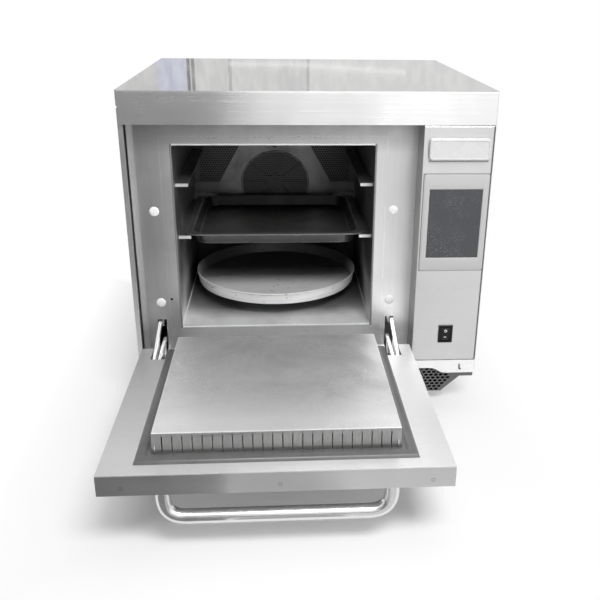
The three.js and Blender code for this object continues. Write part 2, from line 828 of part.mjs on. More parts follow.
// Sheet behind the cavity that hides the fan: a round drilled intake and two drilled side vents
function backBaffle() {
  const x = [opening_left_x + seat_gap, opening_right_x - seat_gap]
  const z = [opening_bottom_z + seat_gap, opening_top_z - seat_gap]
  const y = span(baffle_y, baffle_sheet)
  let baffle = block(x, y, z)
  const hole_y = [baffle_y - through, baffle_y + through]
  const half_sheet_y = baffle_y + baffle_sheet / 2
  const ring_bore = intake_radius - intake_ring / 3
  const ring = cut(
    bar('y', [baffle_y - baffle_sheet, half_sheet_y], fan_axis_x, fan_axis_z, intake_radius, ring_sides),
    bar('y', hole_y, fan_axis_x, fan_axis_z, ring_bore, ring_sides))
  const screw_z = fan_axis_z + intake_radius + baffle_screw_rise + baffle_screw_radius
  const screw = bar('y', [baffle_y - 2 * baffle_sheet, half_sheet_y], fan_axis_x, screw_z,
    baffle_screw_radius, tiny_round_sides)
  baffle = join(baffle, ring, screw)
  const drill = (hx, hz, radius) => {
    baffle = cut(baffle, bar('y', hole_y, hx, hz, radius, hex_sides))
  }
  drill(fan_axis_x, fan_axis_z, intake_hole_radius)
  const last_ring = intake_radius - intake_hole_radius
  for (let radius = intake_hole_ring_pitch; radius < last_ring; radius += intake_hole_ring_pitch) {
    const count = Math.floor(2 * Math.PI * radius / intake_hole_spacing)
    for (let i = 0; i < count; i += 1) {
      const angle = 2 * Math.PI * i / count
      drill(fan_axis_x + radius * Math.cos(angle), fan_axis_z + radius * Math.sin(angle), intake_hole_radius)
    }
  }
  const vent_room = opening_width / 2 - side_vent_inset - intake_radius - side_vent_gap
  for (const side of [-1, 1]) {
    const edge = fan_axis_x + side * (opening_width / 2 - side_vent_inset)
    const top = opening_top_z - side_vent_drop
    for (let drop = side_vent_hole_pitch / 2; drop < side_vent_height; drop += side_vent_hole_pitch) {
      const width = vent_room - side_vent_narrowing * drop / side_vent_height
      for (let run = side_vent_hole_pitch / 2; run < width; run += side_vent_hole_pitch) {
        drill(edge - side * run, top - drop, side_vent_hole_radius)
      }
    }
  }
  place('back_baffle', baffle, cavity_steel)
}

// Two ledges on each side wall of the cavity
function rails() {
  const left = span(opening_left_x + seat_gap, rail_width)
  const sides = { left, right: mirrored(left, opening_centre_x) }
  const drops = { upper: upper_rail_drop, lower: lower_rail_drop }
  for (const [side, x] of Object.entries(sides)) {
    for (const [level, drop] of Object.entries(drops)) {
      const z = [opening_top_z - drop - rail_height, opening_top_z - drop]
      place(`rail_${level}_${side}`, block(x, rail_y, z), bright_steel)
    }
  }
}

// Baking tray: sloping walls, a flat floor and a rolled rim, with its corners cut round
function trayOutline(half_x, half_y, corner) {
  const shape = roundedOutline([-half_x, half_x], [-half_y, half_y], corner)
  return openOutline(shape.getPoints(tray_corner_steps).map(p => [p.x, p.y]))
}

function loft(lower, upper, z) {
  const count = lower.length
  const points = [...lower.map(p => [p[0], p[1], z[0]]), ...upper.map(p => [p[0], p[1], z[1]])]
  const faces = []
  for (let i = 0; i < count; i += 1) {
    const next = (i + 1) % count
    faces.push(i, next, count + next, i, count + next, count + i)
  }
  for (let i = 1; i < count - 1; i += 1) {
    faces.push(0, i + 1, i, count, count + i, count + i + 1)
  }
  const geometry = new THREE.BufferGeometry()
  geometry.setAttribute('position', new THREE.Float32BufferAttribute(points.flat(), 3))
  geometry.setIndex(faces)
  return solid(geometry)
}

function openOutline(points) {
  const same = (a, b) => Math.hypot(a[0] - b[0], a[1] - b[1]) < same_point_gap
  return points.filter((p, i) => !same(p, points[(i + 1) % points.length]))
}

function bakingTray() {
  const half_x = opening_width / 2 - tray_side_gap - tray_rim
  const half_y = (tray_y[1] - tray_y[0]) / 2 - tray_rim
  const outline = inset => trayOutline(half_x - inset, half_y - inset, tray_corner)
  const plate = (grow, corner, z) =>
    slabZ(roundedOutline(centred(0, 2 * (half_x + grow)), centred(0, 2 * (half_y + grow)), corner), z)
  const z = [-tray_depth, 0]
  const rim = cut(
    plate(tray_rim, tray_rim_corner, [0, tray_rim_height]),
    plate(-tray_wall, tray_corner, [-through, through]))
  const shell = join(loft(outline(tray_wall_lean), outline(0), z), rim)
  const hollow = loft(outline(tray_wall_lean + tray_wall), outline(tray_wall), [z[0] + tray_wall, z[1]])
  const tray = place('baking_tray', cut(shell, hollow), dark_tray_steel)
  const middle_y = (tray_y[0] + tray_y[1]) / 2
  tray.position.set(opening_centre_x, middle_y, opening_top_z - lower_rail_drop + seat_gap)
}

// An outline in X and Y pushed up along Z
function slabZ(shape, z) {
  const geometry = new THREE.ExtrudeGeometry(shape, {
    depth: z[1] - z[0], bevelEnabled: false, curveSegments: tray_corner_steps
  })
  geometry.translate(0, 0, z[0])
  return solid(geometry)
}

// Turned profile about the vertical axis
function turned(profile, segments) {
  const geometry = new THREE.LatheGeometry(profile.map(p => new THREE.Vector2(...p)), segments)
  geometry.rotateX(Math.PI / 2)
  return solid(geometry)
}

function pizzaPan() {
  const foot = pan_radius - pan_rim - pan_draft
  const wall = pan_radius - pan_rim
  const profile = [
    [0, -pan_height], [foot, -pan_height], [wall, -pan_rim], [pan_radius, -pan_rim], [pan_radius, 0],
    [wall - pan_wall, 0], [foot - pan_wall, pan_wall - pan_height], [0, pan_wall - pan_height]]
  const pan = place('pizza_pan', turned(profile, pan_sides), aluminium)
  pan.position.set(opening_centre_x, pan_y, opening_bottom_z + pan_rim_height_above_floor)
}

// Low wire stand that lifts the pan off the cavity floor
function panStand() {
  const top = pan_rim_height_above_floor - pan_height - seat_gap
  const ring_x = centred(stand_radius, 2 * stand_wire)
  const ring_z = [top - 2 * stand_wire, top]
  const section = [
    [ring_x[0], ring_z[0]], [ring_x[1], ring_z[0]], [ring_x[1], ring_z[1]], [ring_x[0], ring_z[1]],
    [ring_x[0], ring_z[0]]]
  const pieces = [turned(section, stand_ring_sides)]
  for (let i = 0; i < stand_leg_count; i += 1) {
    const angle = Math.PI / 4 + 2 * Math.PI * i / stand_leg_count
    const leg_x = stand_radius * Math.cos(angle)
    const leg_y = stand_radius * Math.sin(angle)
    pieces.push(bar('z', [seat_gap, top - stand_wire], leg_x, leg_y, stand_leg_radius, small_round_sides))
  }
  const stand = place('pan_stand', join(...pieces), bright_steel)
  stand.position.set(opening_centre_x, pan_y, opening_bottom_z)
}

// Mineral wool around the liner, cut for the window, flue, probe and fan shaft
function cavityInsulation() {
  const outer = block([jacket_left_x, jacket_right_x], [plate_back_y + insulation_front, jacket_back_y],
    [jacket_bottom_z, jacket_top_z])
  const room = insulation_gap / 2
  const inner_x = widened([opening_left_x, opening_right_x], sheet + room)
  const inner = block(inner_x,
    [plate_back_y, liner_back_y + sheet + room],
    widened([liner_bottom_z, liner_top_z], room))
  const window = windowFrame()
  const switch_room = block([jacket_left_x - through, inner_x[0]],
    [plate_back_y, plate_back_y + insulation_front * 3],
    centred(sensor_z, 8 * sensor_hole_radius))
  const roof_z = [liner_top_z, jacket_top_z + through]
  const wool = cut(outer, inner, switch_room,
    block(widened(window.x, sheet), widened(window.y, sheet), roof_z),
    bar('y', [liner_back_y, jacket_back_y + through], fan_axis_x, fan_axis_z, fan_hub_radius),
    bar('z', roof_z, duct_x, flue_y, duct_radius + seat_gap),
    bar('x', [opening_right_x, jacket_right_x + through], probe_y, probe_z, probe_radius + seat_gap,
      small_round_sides))
  place('cavity_insulation', wool, glass_wool)
}

// Convection fan: a backplate with radial blades on a hub and shaft
function convectionFan() {
  const pieces = [
    bar('y', [fan_depth - sheet, fan_depth], 0, 0, fan_radius, ring_sides),
    bar('y', [0, fan_depth], 0, 0, fan_hub_radius),
    bar('y', [0, fan_shaft_length], 0, 0, fan_shaft_radius, small_round_sides)]
  for (let i = 0; i < fan_blade_count; i += 1) {
    const blade = new THREE.BoxGeometry(fan_radius - fan_hub_radius, fan_depth, fan_blade_thickness)
    blade.translate((fan_radius + fan_hub_radius) / 2 - fan_blade_root, fan_depth / 2, 0)
    blade.rotateY(2 * Math.PI * i / fan_blade_count)
    pieces.push(solid(blade))
  }
  const fan = place('convection_fan', join(...pieces), bright_steel)
  fan.position.set(fan_axis_x, fan_front_y, fan_axis_z)
}

const motor_front_y = jacket_back_y + seat_gap
const fan_front_y = liner_back_y - fan_depth - fan_rear_gap
const fan_shaft_length = motor_front_y - fan_front_y + motor_flange

function convectionMotor() {
  const motor = join(
    bar('y', span(motor_front_y, motor_length), fan_axis_x, fan_axis_z, motor_radius, wheel_sides),
    block(centred(fan_axis_x, 2 * motor_radius + 4 * motor_flange), span(motor_front_y, motor_flange),
      centred(fan_axis_z, motor_radius)))
  const bore = bar('y', [motor_front_y - through, motor_front_y + 2 * motor_flange], fan_axis_x, fan_axis_z,
    fan_shaft_radius + seat_gap, small_round_sides)
  place('convection_motor', cut(motor, bore), galvanised)
}

// Sheathed heating element: two rings around the fan, with two tails through the liner's back
function heatingElement() {
  const pieces = []
  for (const offset of [0, element_turn_gap]) {
    const ring = new THREE.TorusGeometry(element_radius, element_tube, hex_sides, element_ring_sides)
    ring.rotateX(Math.PI / 2)
    ring.translate(0, offset, 0)
    pieces.push(solid(ring))
  }
  const bridge = bar('y', [0, element_turn_gap], element_radius, 0, element_tube, tiny_round_sides)
  pieces.push(bridge)
  const element = place('heating_element', join(...pieces), dark_tray_steel)
  element.position.set(fan_axis_x, liner_back_y - element_turn_gap - element_tube - seat_gap, fan_axis_z)
}

function temperatureProbe() {
  const x = [opening_right_x - probe_length / 2, jacket_right_x + probe_length / 4]
  const cap_x = span(jacket_right_x + seat_gap, probe_length / 4)
  const probe = join(
    bar('x', x, probe_y, probe_z, probe_radius, small_round_sides),
    bar('x', cap_x, probe_y, probe_z, 2 * probe_radius, pin_sides))
  place('temperature_probe', probe, bright_steel)
}

// Waveguide over the cavity: a flat tube from the magnetron to the ceiling window
function waveguide() {
  const outer_x = [opening_centre_x - waveguide_overhang, magnetron_x + waveguide_end]
  const outer_y = centred(window_y, waveguide_depth)
  const z = span(jacket_top_z + seat_gap, waveguide_height)
  const outer = block(outer_x, outer_y, z)
  const inner = block(widened(outer_x, -waveguide_wall), widened(outer_y, -waveguide_wall),
    widened(z, -waveguide_wall))
  const window = windowFrame()
  const guide = cut(outer, inner,
    block(window.x, window.y, [z[0] - through, z[0] + through]),
    bar('z', [z[1] - through, z[1] + through], opening_centre_x, window_y,
      stirrer_shaft_radius + 2 * shaft_room, pin_sides),
    bar('z', [z[0] - through, z[0] + through], magnetron_x, window_y,
      magnetron_antenna_radius + shaft_room))
  place('waveguide', guide, aluminium)
}

const magnetron_x = jacket_right_x + 2 * sheet + magnetron_size / 2
const guide_bottom_z = jacket_top_z + seat_gap

// Mode stirrer: a hub with tilted vanes that turns inside the waveguide above the window
function modeStirrer() {
  const z = guide_bottom_z + waveguide_height / 3
  const pieces = [
    bar('z', [-stirrer_blade, stirrerShaft(z)], 0, 0, stirrer_shaft_radius, small_round_sides),
    bar('z', [-stirrer_blade, 3 * stirrer_blade], 0, 0, 2 * fan_shaft_radius, pin_sides)]
  for (let i = 0; i < stirrer_vane_count; i += 1) {
    const vane = new THREE.BoxGeometry(stirrer_radius, 2 * fan_shaft_radius, stirrer_blade)
    vane.rotateX(THREE.MathUtils.degToRad(stirrer_vane_pitch_deg))
    vane.translate(stirrer_radius / 2, 0, 0)
    vane.rotateZ(Math.PI / 4 + 2 * Math.PI * i / stirrer_vane_count)
    pieces.push(solid(vane))
  }
  const stirrer = place('mode_stirrer', join(...pieces), aluminium)
  stirrer.position.set(opening_centre_x, window_y, z)
}

const stirrerShaft = z => guide_bottom_z + waveguide_height + seat_gap + sheet - z

function stirrerMotor() {
  const z = guide_bottom_z + waveguide_height + seat_gap
  const motor = cut(
    bar('z', span(z, stirrer_motor_height), opening_centre_x, window_y, stirrer_motor_radius, drum_sides),
    bar('z', [z - through, z + 2 * sheet], opening_centre_x, window_y, stirrer_shaft_radius + seat_gap,
      small_round_sides))
  place('stirrer_motor', motor, galvanised)
}

// Mica sheet over the ceiling window, seen from inside the oven
function stirrerCover() {
  const window = windowFrame()
  const z = [opening_top_z - seat_gap - sheet, opening_top_z - seat_gap]
  const cover = block(widened(window.x, 4 * sheet), widened(window.y, 4 * sheet), z)
  place('stirrer_cover', cover, ceramic_grey)
}

function magnetron() {
  const top = guide_bottom_z - seat_gap
  let unit = block(centred(magnetron_x, magnetron_size), centred(window_y, magnetron_size),
    [top - magnetron_height, top])
  for (let i = 0; i < magnetron_fin_slots; i += 1) {
    const z = centred(top - magnetron_height * (i + 1) / (magnetron_fin_slots + 1), sheet * 3)
    const slot_x = centred(magnetron_x, magnetron_size - 4 * sheet)
    unit = cut(unit, block(slot_x, centred(window_y, magnetron_size + through), z))
  }
  const antenna = bar('z', [top - sheet, top + magnetron_antenna_height], magnetron_x, window_y,
    magnetron_antenna_radius)
  place('magnetron', join(unit, antenna), galvanised)
}

// High-voltage transformer: a laminated core with a winding bulging on both sides
function transformer() {
  const x = centred(bay_centre_x, transformer_width)
  const y = transformer_y
  const z = span(chassis_z + seat_gap, transformer_height)
  const core = block(x, [y[0] + transformer_coil_bulge, y[1] - transformer_coil_bulge], z)
  const coil = block([x[0] + transformer_coil_bulge, x[1] - transformer_coil_bulge], y,
    [z[0] + transformer_coil_bulge, z[1] - transformer_coil_bulge])
  place('transformer', join(core, coil), winding_copper)
}

function capacitor() {
  const y = span(transformer_y[1] + 2 * sheet, capacitor_length)
  const z = chassis_z + seat_gap + capacitor_radius
  const can = bar('y', y, bay_centre_x, z, capacitor_radius, drum_sides)
  const strap = block(centred(bay_centre_x, 2 * capacitor_radius + 4 * sheet),
    centred((y[0] + y[1]) / 2, 6 * sheet), [chassis_z + seat_gap, z])
  place('capacitor', join(can, strap), aluminium)
}

// Cooling fan lying over a hole in the chassis floor
function coolingFan() {
  const [x, y] = coolingFanCentre()
  const z = span(chassis_z + seat_gap, cooling_fan_depth)
  const frame = cut(
    block(centred(x, cooling_fan_size), centred(y, cooling_fan_size), z),
    bar('z', [z[0] - through, z[1] + through], x, y, cooling_fan_bore, fan_bore_sides))
  const spokes = [0, 1].map(i => {
    const spoke = new THREE.BoxGeometry(2 * cooling_fan_bore + sheet, 3 * sheet, 2 * sheet)
    spoke.rotateZ(Math.PI / 4 + i * Math.PI / 2)
    spoke.translate(x, y, z[0] + sheet)
    return solid(spoke)
  })
  const seat = bar('z', [z[0], z[0] + 2 * sheet], x, y, cooling_fan_hub)
  place('cooling_fan_frame', join(frame, ...spokes, seat), black_plastic)
  const pieces = [bar('z', [0, cooling_fan_depth - 4 * sheet], 0, 0, cooling_fan_hub, drum_sides)]
  const blade_length = cooling_fan_bore - cooling_fan_hub - sheet
  for (let i = 0; i < cooling_fan_blade_count; i += 1) {
    const blade = new THREE.BoxGeometry(blade_length, cooling_fan_depth / 2, sheet)
    blade.rotateX(THREE.MathUtils.degToRad(cooling_fan_blade_pitch_deg))
    blade.translate((cooling_fan_bore + cooling_fan_hub) / 2 - sheet, 0, cooling_fan_depth / 2 - 2 * sheet)
    blade.rotateZ(2 * Math.PI * i / cooling_fan_blade_count)
    pieces.push(solid(blade))
  }
  const rotor = place('cooling_fan_rotor', join(...pieces), black_plastic)
  rotor.position.set(x, y, z[0] + 2 * sheet + seat_gap)
}

// Flue: a catalyst box over the cavity and a duct from it to the rear panel
function catalyst() {
  const x = centred(duct_x, catalyst_width)
  const y = centred(flue_y, catalyst_depth)
  const z = span(jacket_top_z + seat_gap, catalyst_height)
  const stub_radius = duct_radius - flue_stub_clearance
  const stub = bar('z', [liner_top_z + seat_gap, z[0] + sheet], duct_x, flue_y, stub_radius)
  const shell = cut(join(block(x, y, z), stub),
    block(widened(x, -sheet), widened(y, -sheet), widened(z, -sheet)),
    bar('z', [liner_top_z - through, z[0] + through], duct_x, flue_y, stub_radius - duct_wall),
    bar('y', [y[1] - through, y[1] + through], duct_x, duct_z, duct_bore))
  place('catalytic_converter', shell, bright_steel)
  const run = [y[1] + seat_gap, cabinet_depth]
  const duct = cut(bar('y', run, duct_x, duct_z, duct_bore + duct_wall, drum_sides),
    bar('y', [run[0] - through, run[1] + through], duct_x, duct_z, duct_bore, drum_sides))
  place('exhaust_duct', duct, bright_steel)
}

const duct_bore = catalyst_height / 2 - 3 * duct_wall

// Mains cable gland on the rear panel
function cableGland() {
  const nut_y = [cabinet_depth + seat_gap, cabinet_depth + gland_length]
  const neck_y = [rear_inner_y - 2 * sheet, cabinet_depth + 2 * seat_gap]
  const bore_y = [rear_inner_y - through, cabinet_depth + gland_length + through]
  const gland = join(
    bar('y', nut_y, gland_x, gland_z, gland_radius, hex_sides),
    bar('y', neck_y, gland_x, gland_z, gland_radius / 2, pin_sides))
  const bore = bar('y', bore_y, gland_x, gland_z, gland_bore, small_round_sides)
  place('cable_gland', cut(gland, bore), black_plastic)
}

// Where the door springs are anchored: on the line that halves the swing of the arm's tip
const tip_angle_open = Math.atan2(arm_reach_w, -arm_reach_u) - (Math.PI / 2 - open_angle)
const half_swing = open_angle / 2
const anchor_angle = tip_angle_open - half_swing
const anchor_y = hinge_y + spring_anchor_reach * Math.cos(anchor_angle)
const anchor_z = hinge_z + spring_anchor_reach * Math.sin(anchor_angle)

// Ranges in X of every hinge piece on the left, mirrored about the middle of the opening for the right
function hingeSides() {
  const notch_left = opening_centre_x - gasket_half_width - notch_width
  const slot_left = notch_left + sheet
  const outer_arm = span(slot_left + sheet, arm_thickness)
  const lever = span(outer_arm[1] + arm_gap, arm_thickness)
  const link = span(outer_arm[1] + seat_gap * 2, spring_plate)
  const post = span(link[1] + seat_gap * 2, lug_thickness)
  const left = {
    side: 'left',
    notch: span(notch_left, notch_width),
    slot: span(slot_left, hinge_slot_width),
    ledge_gap: span(notch_left - sheet, notch_width),
    outer_arm,
    lever,
    lug_out: span(outer_arm[0] - 2 * seat_gap - lug_thickness, lug_thickness),
    lug_in: span(lever[1] + 2 * seat_gap, lug_thickness),
    link,
    arm_pin: [outer_arm[1] - pin_seat, link[1] + seat_gap],
    spring_post: post,
    anchor_pin: [link[0] - 2 * seat_gap, post[0] + pin_seat]
  }
  const right = { side: 'right' }
  for (const [key, value] of Object.entries(left)) {
    if (Array.isArray(value)) right[key] = mirrored(value, opening_centre_x)
  }
  return [left, right]
}

// Fixed hinge bracket: two lugs and the pin that the door turns on
function hingeBracket(side) {
  const lug = x => join(
    block(x, [hinge_y, recess_depth - seat_gap], centred(hinge_z, 2 * lug_radius)),
    bar('x', x, hinge_y, hinge_z, lug_radius))
  const lug_ends = [...side.lug_out, ...side.lug_in]
  const pin_x = widened([Math.min(...lug_ends), Math.max(...lug_ends)], pin_seat)
  const pin = bar('x', pin_x, hinge_y, hinge_z, pin_radius)
  place(`hinge_bracket_${side.side}`, join(lug(side.lug_out), lug(side.lug_in), pin), bright_steel)
}

// A flat bar between two points in the door's own w and u
function flatBar(from, to, half_height, x) {
  const run = [to[0] - from[0], to[1] - from[1]]
  const length = Math.hypot(...run)
  const across = [-run[1] / length * half_height, run[0] / length * half_height]
  return slabX([
    [from[0] + across[0], from[1] + across[1]], [from[0] - across[0], from[1] - across[1]],
    [to[0] - across[0], to[1] - across[1]], [to[0] + across[0], to[1] + across[1]]], x)
}

// Hinge arm of the door: a long arm through the slot for the spring, and a lever with the knuckle
function hingeArm(side) {
  const entry = [arm_entry_w, arm_entry_u]
  const foot_x = [Math.min(side.outer_arm[0], side.lever[0]), Math.max(side.outer_arm[1], side.lever[1])]
  const reach = [arm_reach_w, arm_reach_u]
  const foot_u = span(arm_entry_u + sheet, arm_foot_length)
  const foot_w = [door_outer_w + sheet + seat_gap, arm_entry_w - arm_half_height]
  const arm = join(
    flatBar(reach, entry, arm_half_height, side.outer_arm),
    bar('x', side.outer_arm, ...reach, arm_half_height, pin_sides),
    block(side.outer_arm, [foot_w[0], foot_w[1] + arm_half_height], [arm_entry_u - through, foot_u[1]]))
  const lever_tip = [lever_tip_w, lever_tip_u]
  const lever_entry = [lever_entry_w, arm_entry_u]
  const lever = join(
    flatBar(lever_tip, lever_entry, lever_half_height, side.lever),
    bar('x', side.lever, ...lever_tip, lever_half_height, pin_sides),
    slabX([[0, -lug_radius], [lever_tip_w - lever_half_height, -lever_web_width],
      [lever_tip_w - 2 * lever_half_height, lever_web_width / 2], [0, lug_radius]], side.lever),
    bar('x', side.lever, 0, 0, lug_radius),
    block(side.lever, [foot_w[0], foot_w[1]], [arm_entry_u - through, foot_u[1]]))
  const foot = block(foot_x, foot_w, foot_u)
  const hook = bar('x', side.arm_pin, ...reach, spring_pin_radius, pin_sides)
  const whole = cut(join(arm, lever, foot, hook),
    bar('x', [side.lever[0] - through, side.lever[1] + through], 0, 0, pin_radius + pin_clearance))
  place(`hinge_arm_${side.side}`, whole, bright_steel, door)
}

// Door spring: a slotted plate that the arm's pin pulls on, a spring barrel, and an eye on the anchor pin
function doorSpring(side) {
  const reach = Math.hypot(arm_reach_w, arm_reach_u)
  const tip = [hinge_y + reach * Math.cos(tip_angle_open), hinge_z + reach * Math.sin(tip_angle_open)]
  const length = Math.hypot(tip[0] - anchor_y, tip[1] - anchor_z)
  const half_height = spring_slot_half_height + spring_rail_height
  const x = side.link
  const slot_y = [-length - spring_pin_radius - pin_clearance, -length + spring_slot_length]
  const plate = block(x, [slot_y[0] - spring_rail_height, slot_y[1] + half_height],
    centred(0, 2 * half_height))
  const slot = block(widened(x, through), slot_y, centred(0, 2 * spring_slot_half_height))
  const rod_y = [-length + spring_slot_length + spring_rail_height, 0]
  const rod = block(x, rod_y, centred(0, 2 * spring_rail_height))
  const eye = bar('x', x, 0, 0, lug_radius)
  const middle_x = (x[0] + x[1]) / 2
  const barrel_y = span(-spring_length - 3 * lug_radius / 2, spring_length)
  const barrel = bar('y', barrel_y, middle_x, 0, spring_radius, spring_sides)
  const spring = cut(join(cut(plate, slot), rod, eye, barrel),
    bar('x', widened(x, through), 0, 0, spring_pin_radius + pin_clearance, pin_sides))
  const mesh = place(`door_spring_${side.side}`, spring, bright_steel)
  mesh.position.set(0, anchor_y, anchor_z)
  mesh.rotation.x = -Math.atan2(tip[1] - anchor_z, anchor_y - tip[0])
}

// Door outer skin: a shallow pan that wraps the door's edges, notched for the hinge arms
function doorOuterSkin() {
  const x = [door_left_x, door_right_x]
  const w = [door_outer_w, door_inner_w - sheet - seat_gap]
  const u = [door_bottom_u, door_top_u]
  let skin = cut(block(x, w, u),
    block([x[0] + sheet, x[1] - sheet], [w[0] + sheet, w[1] + through], [u[0] + sheet, u[1] - sheet]))
  for (const side of hingeSides()) {
    skin = cut(skin, block(side.notch, [w[1] - notch_depth, w[1] + through], widened([u[0], u[0]], through)))
  }
  const screw_u = door_top_u - handle_from_top
  for (const screw_x of handle_x) {
    const screw_w = widened([w[0], w[0]], through)
    skin = cut(skin, bar('y', screw_w, screw_x, screw_u, handle_bore / 2, small_round_sides))
  }
  place('door_outer_skin', skin, brushed_steel, door)
}

// Door inner frame: the flat border around the gasket, with the hinge notches at its lower corners
function doorInnerFrame() {
  const x = [door_left_x, door_right_x]
  const w = [door_inner_w - sheet, door_inner_w]
  const cut_w = widened(w, through)
  let frame = cut(block(x, w, [door_bottom_u, door_top_u]),
    block(centred(opening_centre_x, 2 * choke_half_width - 4 * gasket_band / 3), cut_w,
      widened([choke_bottom_u, choke_top_u], -gasket_band / 2)))
  const notch_u = [door_bottom_u - through, door_bottom_u + notch_length]
  for (const side of hingeSides()) {
    frame = cut(frame, block(side.notch, cut_w, notch_u))
  }
  place('door_inner_frame', frame, brushed_steel, door)
}

// Door gasket: a flat band with a sloping outer edge around the choke
function doorGasket() {
  const w = [door_inner_w + seat_gap, door_inner_w + gasket_height]
  const half = gasket_half_width
  const slope = gasket_height
  const ring = cut(
    taperedBlock(centred(opening_centre_x, 2 * half), [gasket_bottom_u, gasket_top_u], w, slope),
    block(centred(opening_centre_x, 2 * choke_half_width + 2 * seat_gap), widened(w, through),
      widened([choke_bottom_u, choke_top_u], seat_gap)))
  place('door_gasket', ring, seal_grey, door)
}

// A block in X and Z whose far face along Y is drawn in by a slope
function taperedBlock(x, z, y, slope) {
  const corners = (a, b) => [[a[0], b[0]], [a[1], b[0]], [a[1], b[1]], [a[0], b[1]]]
  const lower = corners(x, z)
  const upper = corners(widened(x, -slope), widened(z, -slope))
  const points = [...lower.map(p => [p[0], y[0], p[1]]), ...upper.map(p => [p[0], y[1], p[1]])]
  const count = lower.length
  const faces = []
  for (let i = 0; i < count; i += 1) {
    const next = (i + 1) % count
    faces.push(i, count + next, next, i, count + i, count + next)
  }
  faces.push(0, 1, 2, 0, 2, 3, 4, 6, 5, 4, 7, 6)
  const geometry = new THREE.BufferGeometry()
  geometry.setAttribute('position', new THREE.Float32BufferAttribute(points.flat(), 3))
  geometry.setIndex(faces)
  return solid(geometry)
}

// Choke: a raised box of thin sheet, whose upper and lower walls are combs of teeth that hang clear
function chokePlug() {
  const x = centred(opening_centre_x, 2 * choke_half_width)
  const w = [door_inner_w + seat_gap, door_inner_w + choke_height]
  const u = [choke_bottom_u, choke_top_u]
  let plug = cut(block(x, w, u),
    block(widened(x, -sheet), [w[0] - through, w[1] - sheet], widened(u, -sheet)))
  const pitch = 2 * choke_half_width / (choke_slot_count + 1)
  const slot_w = [w[0] - through, w[1] - 3 * sheet]
  const clear_w = [w[0] - through, w[0] + choke_tooth_gap]
  for (const wall_u of [[u[0] - through, u[0] + 2 * sheet], [u[1] - 2 * sheet, u[1] + through]]) {
    plug = cut(plug, block(widened(x, -pitch), clear_w, wall_u))
    for (let i = 1; i <= choke_slot_count; i += 1) {
      plug = cut(plug, block(centred(x[0] + i * pitch, choke_slot_width), slot_w, wall_u))
    }
  }
  place('choke_plug', plug, brushed_steel, door)
}

// Wool slab that fills the choke and the middle of the door
function doorInsulation() {
  const x = centred(opening_centre_x, 2 * choke_half_width - 4 * gasket_band / 3 - 2 * insulation_gap)
  const u = widened([choke_bottom_u, choke_top_u], -gasket_band / 2 - insulation_gap)
  const w = [door_outer_w + sheet + seat_gap, door_inner_w + choke_height - sheet - seat_gap]
  place('door_insulation', block(x, w, u), glass_wool, door)
}

// Tubular handle: two legs and a long bar in one bent tube
function doorHandle() {
  const legs = handle_x
  const root = door_outer_w - seat_gap
  const out = door_outer_w - handle_stand_off
  const point = (x, w) => new THREE.Vector3(x, w, door_top_u - handle_from_top)
  const path = new THREE.CurvePath()
  path.add(new THREE.LineCurve3(point(legs[0], root), point(legs[0], out + handle_bend)))
  path.add(new THREE.QuadraticBezierCurve3(
    point(legs[0], out + handle_bend), point(legs[0], out), point(legs[0] + handle_bend, out)))
  path.add(new THREE.LineCurve3(point(legs[0] + handle_bend, out), point(legs[1] - handle_bend, out)))
  path.add(new THREE.QuadraticBezierCurve3(
    point(legs[1] - handle_bend, out), point(legs[1], out), point(legs[1], out + handle_bend)))
  path.add(new THREE.LineCurve3(point(legs[1], out + handle_bend), point(legs[1], root)))
  const section = new THREE.Shape().absarc(0, 0, handle_radius, 0, Math.PI * 2)
  const steps = Math.round(path.getLength() / handle_step)
  const tube = new THREE.ExtrudeGeometry(section, {
    steps, extrudePath: path, bevelEnabled: false, curveSegments: handle_quarter_steps
  })
  place('door_handle', solid(tube), bright_steel, door)
}

topCover()
sidePanel('left_side_panel', -1, true)
sidePanel('right_side_panel', 1, false)
rearPanel()
chassisFloor()
baseTray()
intakeGrille()
bottomTrim()
feet()
frontPlate()
doorSwitch()
controlPanel()
badgePlate()
display()
mainsSwitch()
controlBoard()
cavityLiner()
backBaffle()
rails()
bakingTray()
pizzaPan()
panStand()
cavityInsulation()
convectionFan()
convectionMotor()
heatingElement()
temperatureProbe()
waveguide()
modeStirrer()
stirrerMotor()
stirrerCover()
magnetron()
transformer()
capacitor()
coolingFan()
catalyst()
cableGland()
for (const side of hingeSides()) {
  hingeBracket(side)
  hingeArm(side)
  doorSpring(side)
}
doorOuterSkin()
doorInnerFrame()
doorGasket()
chokePlug()
doorInsulation()
doorHandle()

export default oven
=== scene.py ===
# %% [markdown]
# # A speed oven with its door open
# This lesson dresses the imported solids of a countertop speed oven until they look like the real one:
# brushed and mirror-bright steel, a dark stained cavity, a tray, a spun pan and a worn door. The solids
# come in as a fixed frame. Their shapes and places are final, so each cell below only adds a finish, or
# puts a finer piece where a plain solid stands.

# %% Load the frame
import math

import bmesh
import bpy
from mathutils import Matrix, Vector
from mathutils.geometry import delaunay_2d_cdt


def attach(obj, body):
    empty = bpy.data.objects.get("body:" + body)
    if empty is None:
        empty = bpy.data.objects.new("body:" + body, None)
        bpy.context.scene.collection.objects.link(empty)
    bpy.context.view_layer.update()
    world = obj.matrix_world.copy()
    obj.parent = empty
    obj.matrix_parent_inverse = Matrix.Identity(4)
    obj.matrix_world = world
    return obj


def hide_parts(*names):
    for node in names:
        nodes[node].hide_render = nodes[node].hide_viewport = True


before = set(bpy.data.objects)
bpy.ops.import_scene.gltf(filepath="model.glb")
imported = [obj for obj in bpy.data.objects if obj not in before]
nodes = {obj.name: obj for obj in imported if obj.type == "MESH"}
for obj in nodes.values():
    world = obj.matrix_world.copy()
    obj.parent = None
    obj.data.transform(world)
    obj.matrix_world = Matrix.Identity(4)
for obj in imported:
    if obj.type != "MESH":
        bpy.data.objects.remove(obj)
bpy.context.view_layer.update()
MM = 0.001

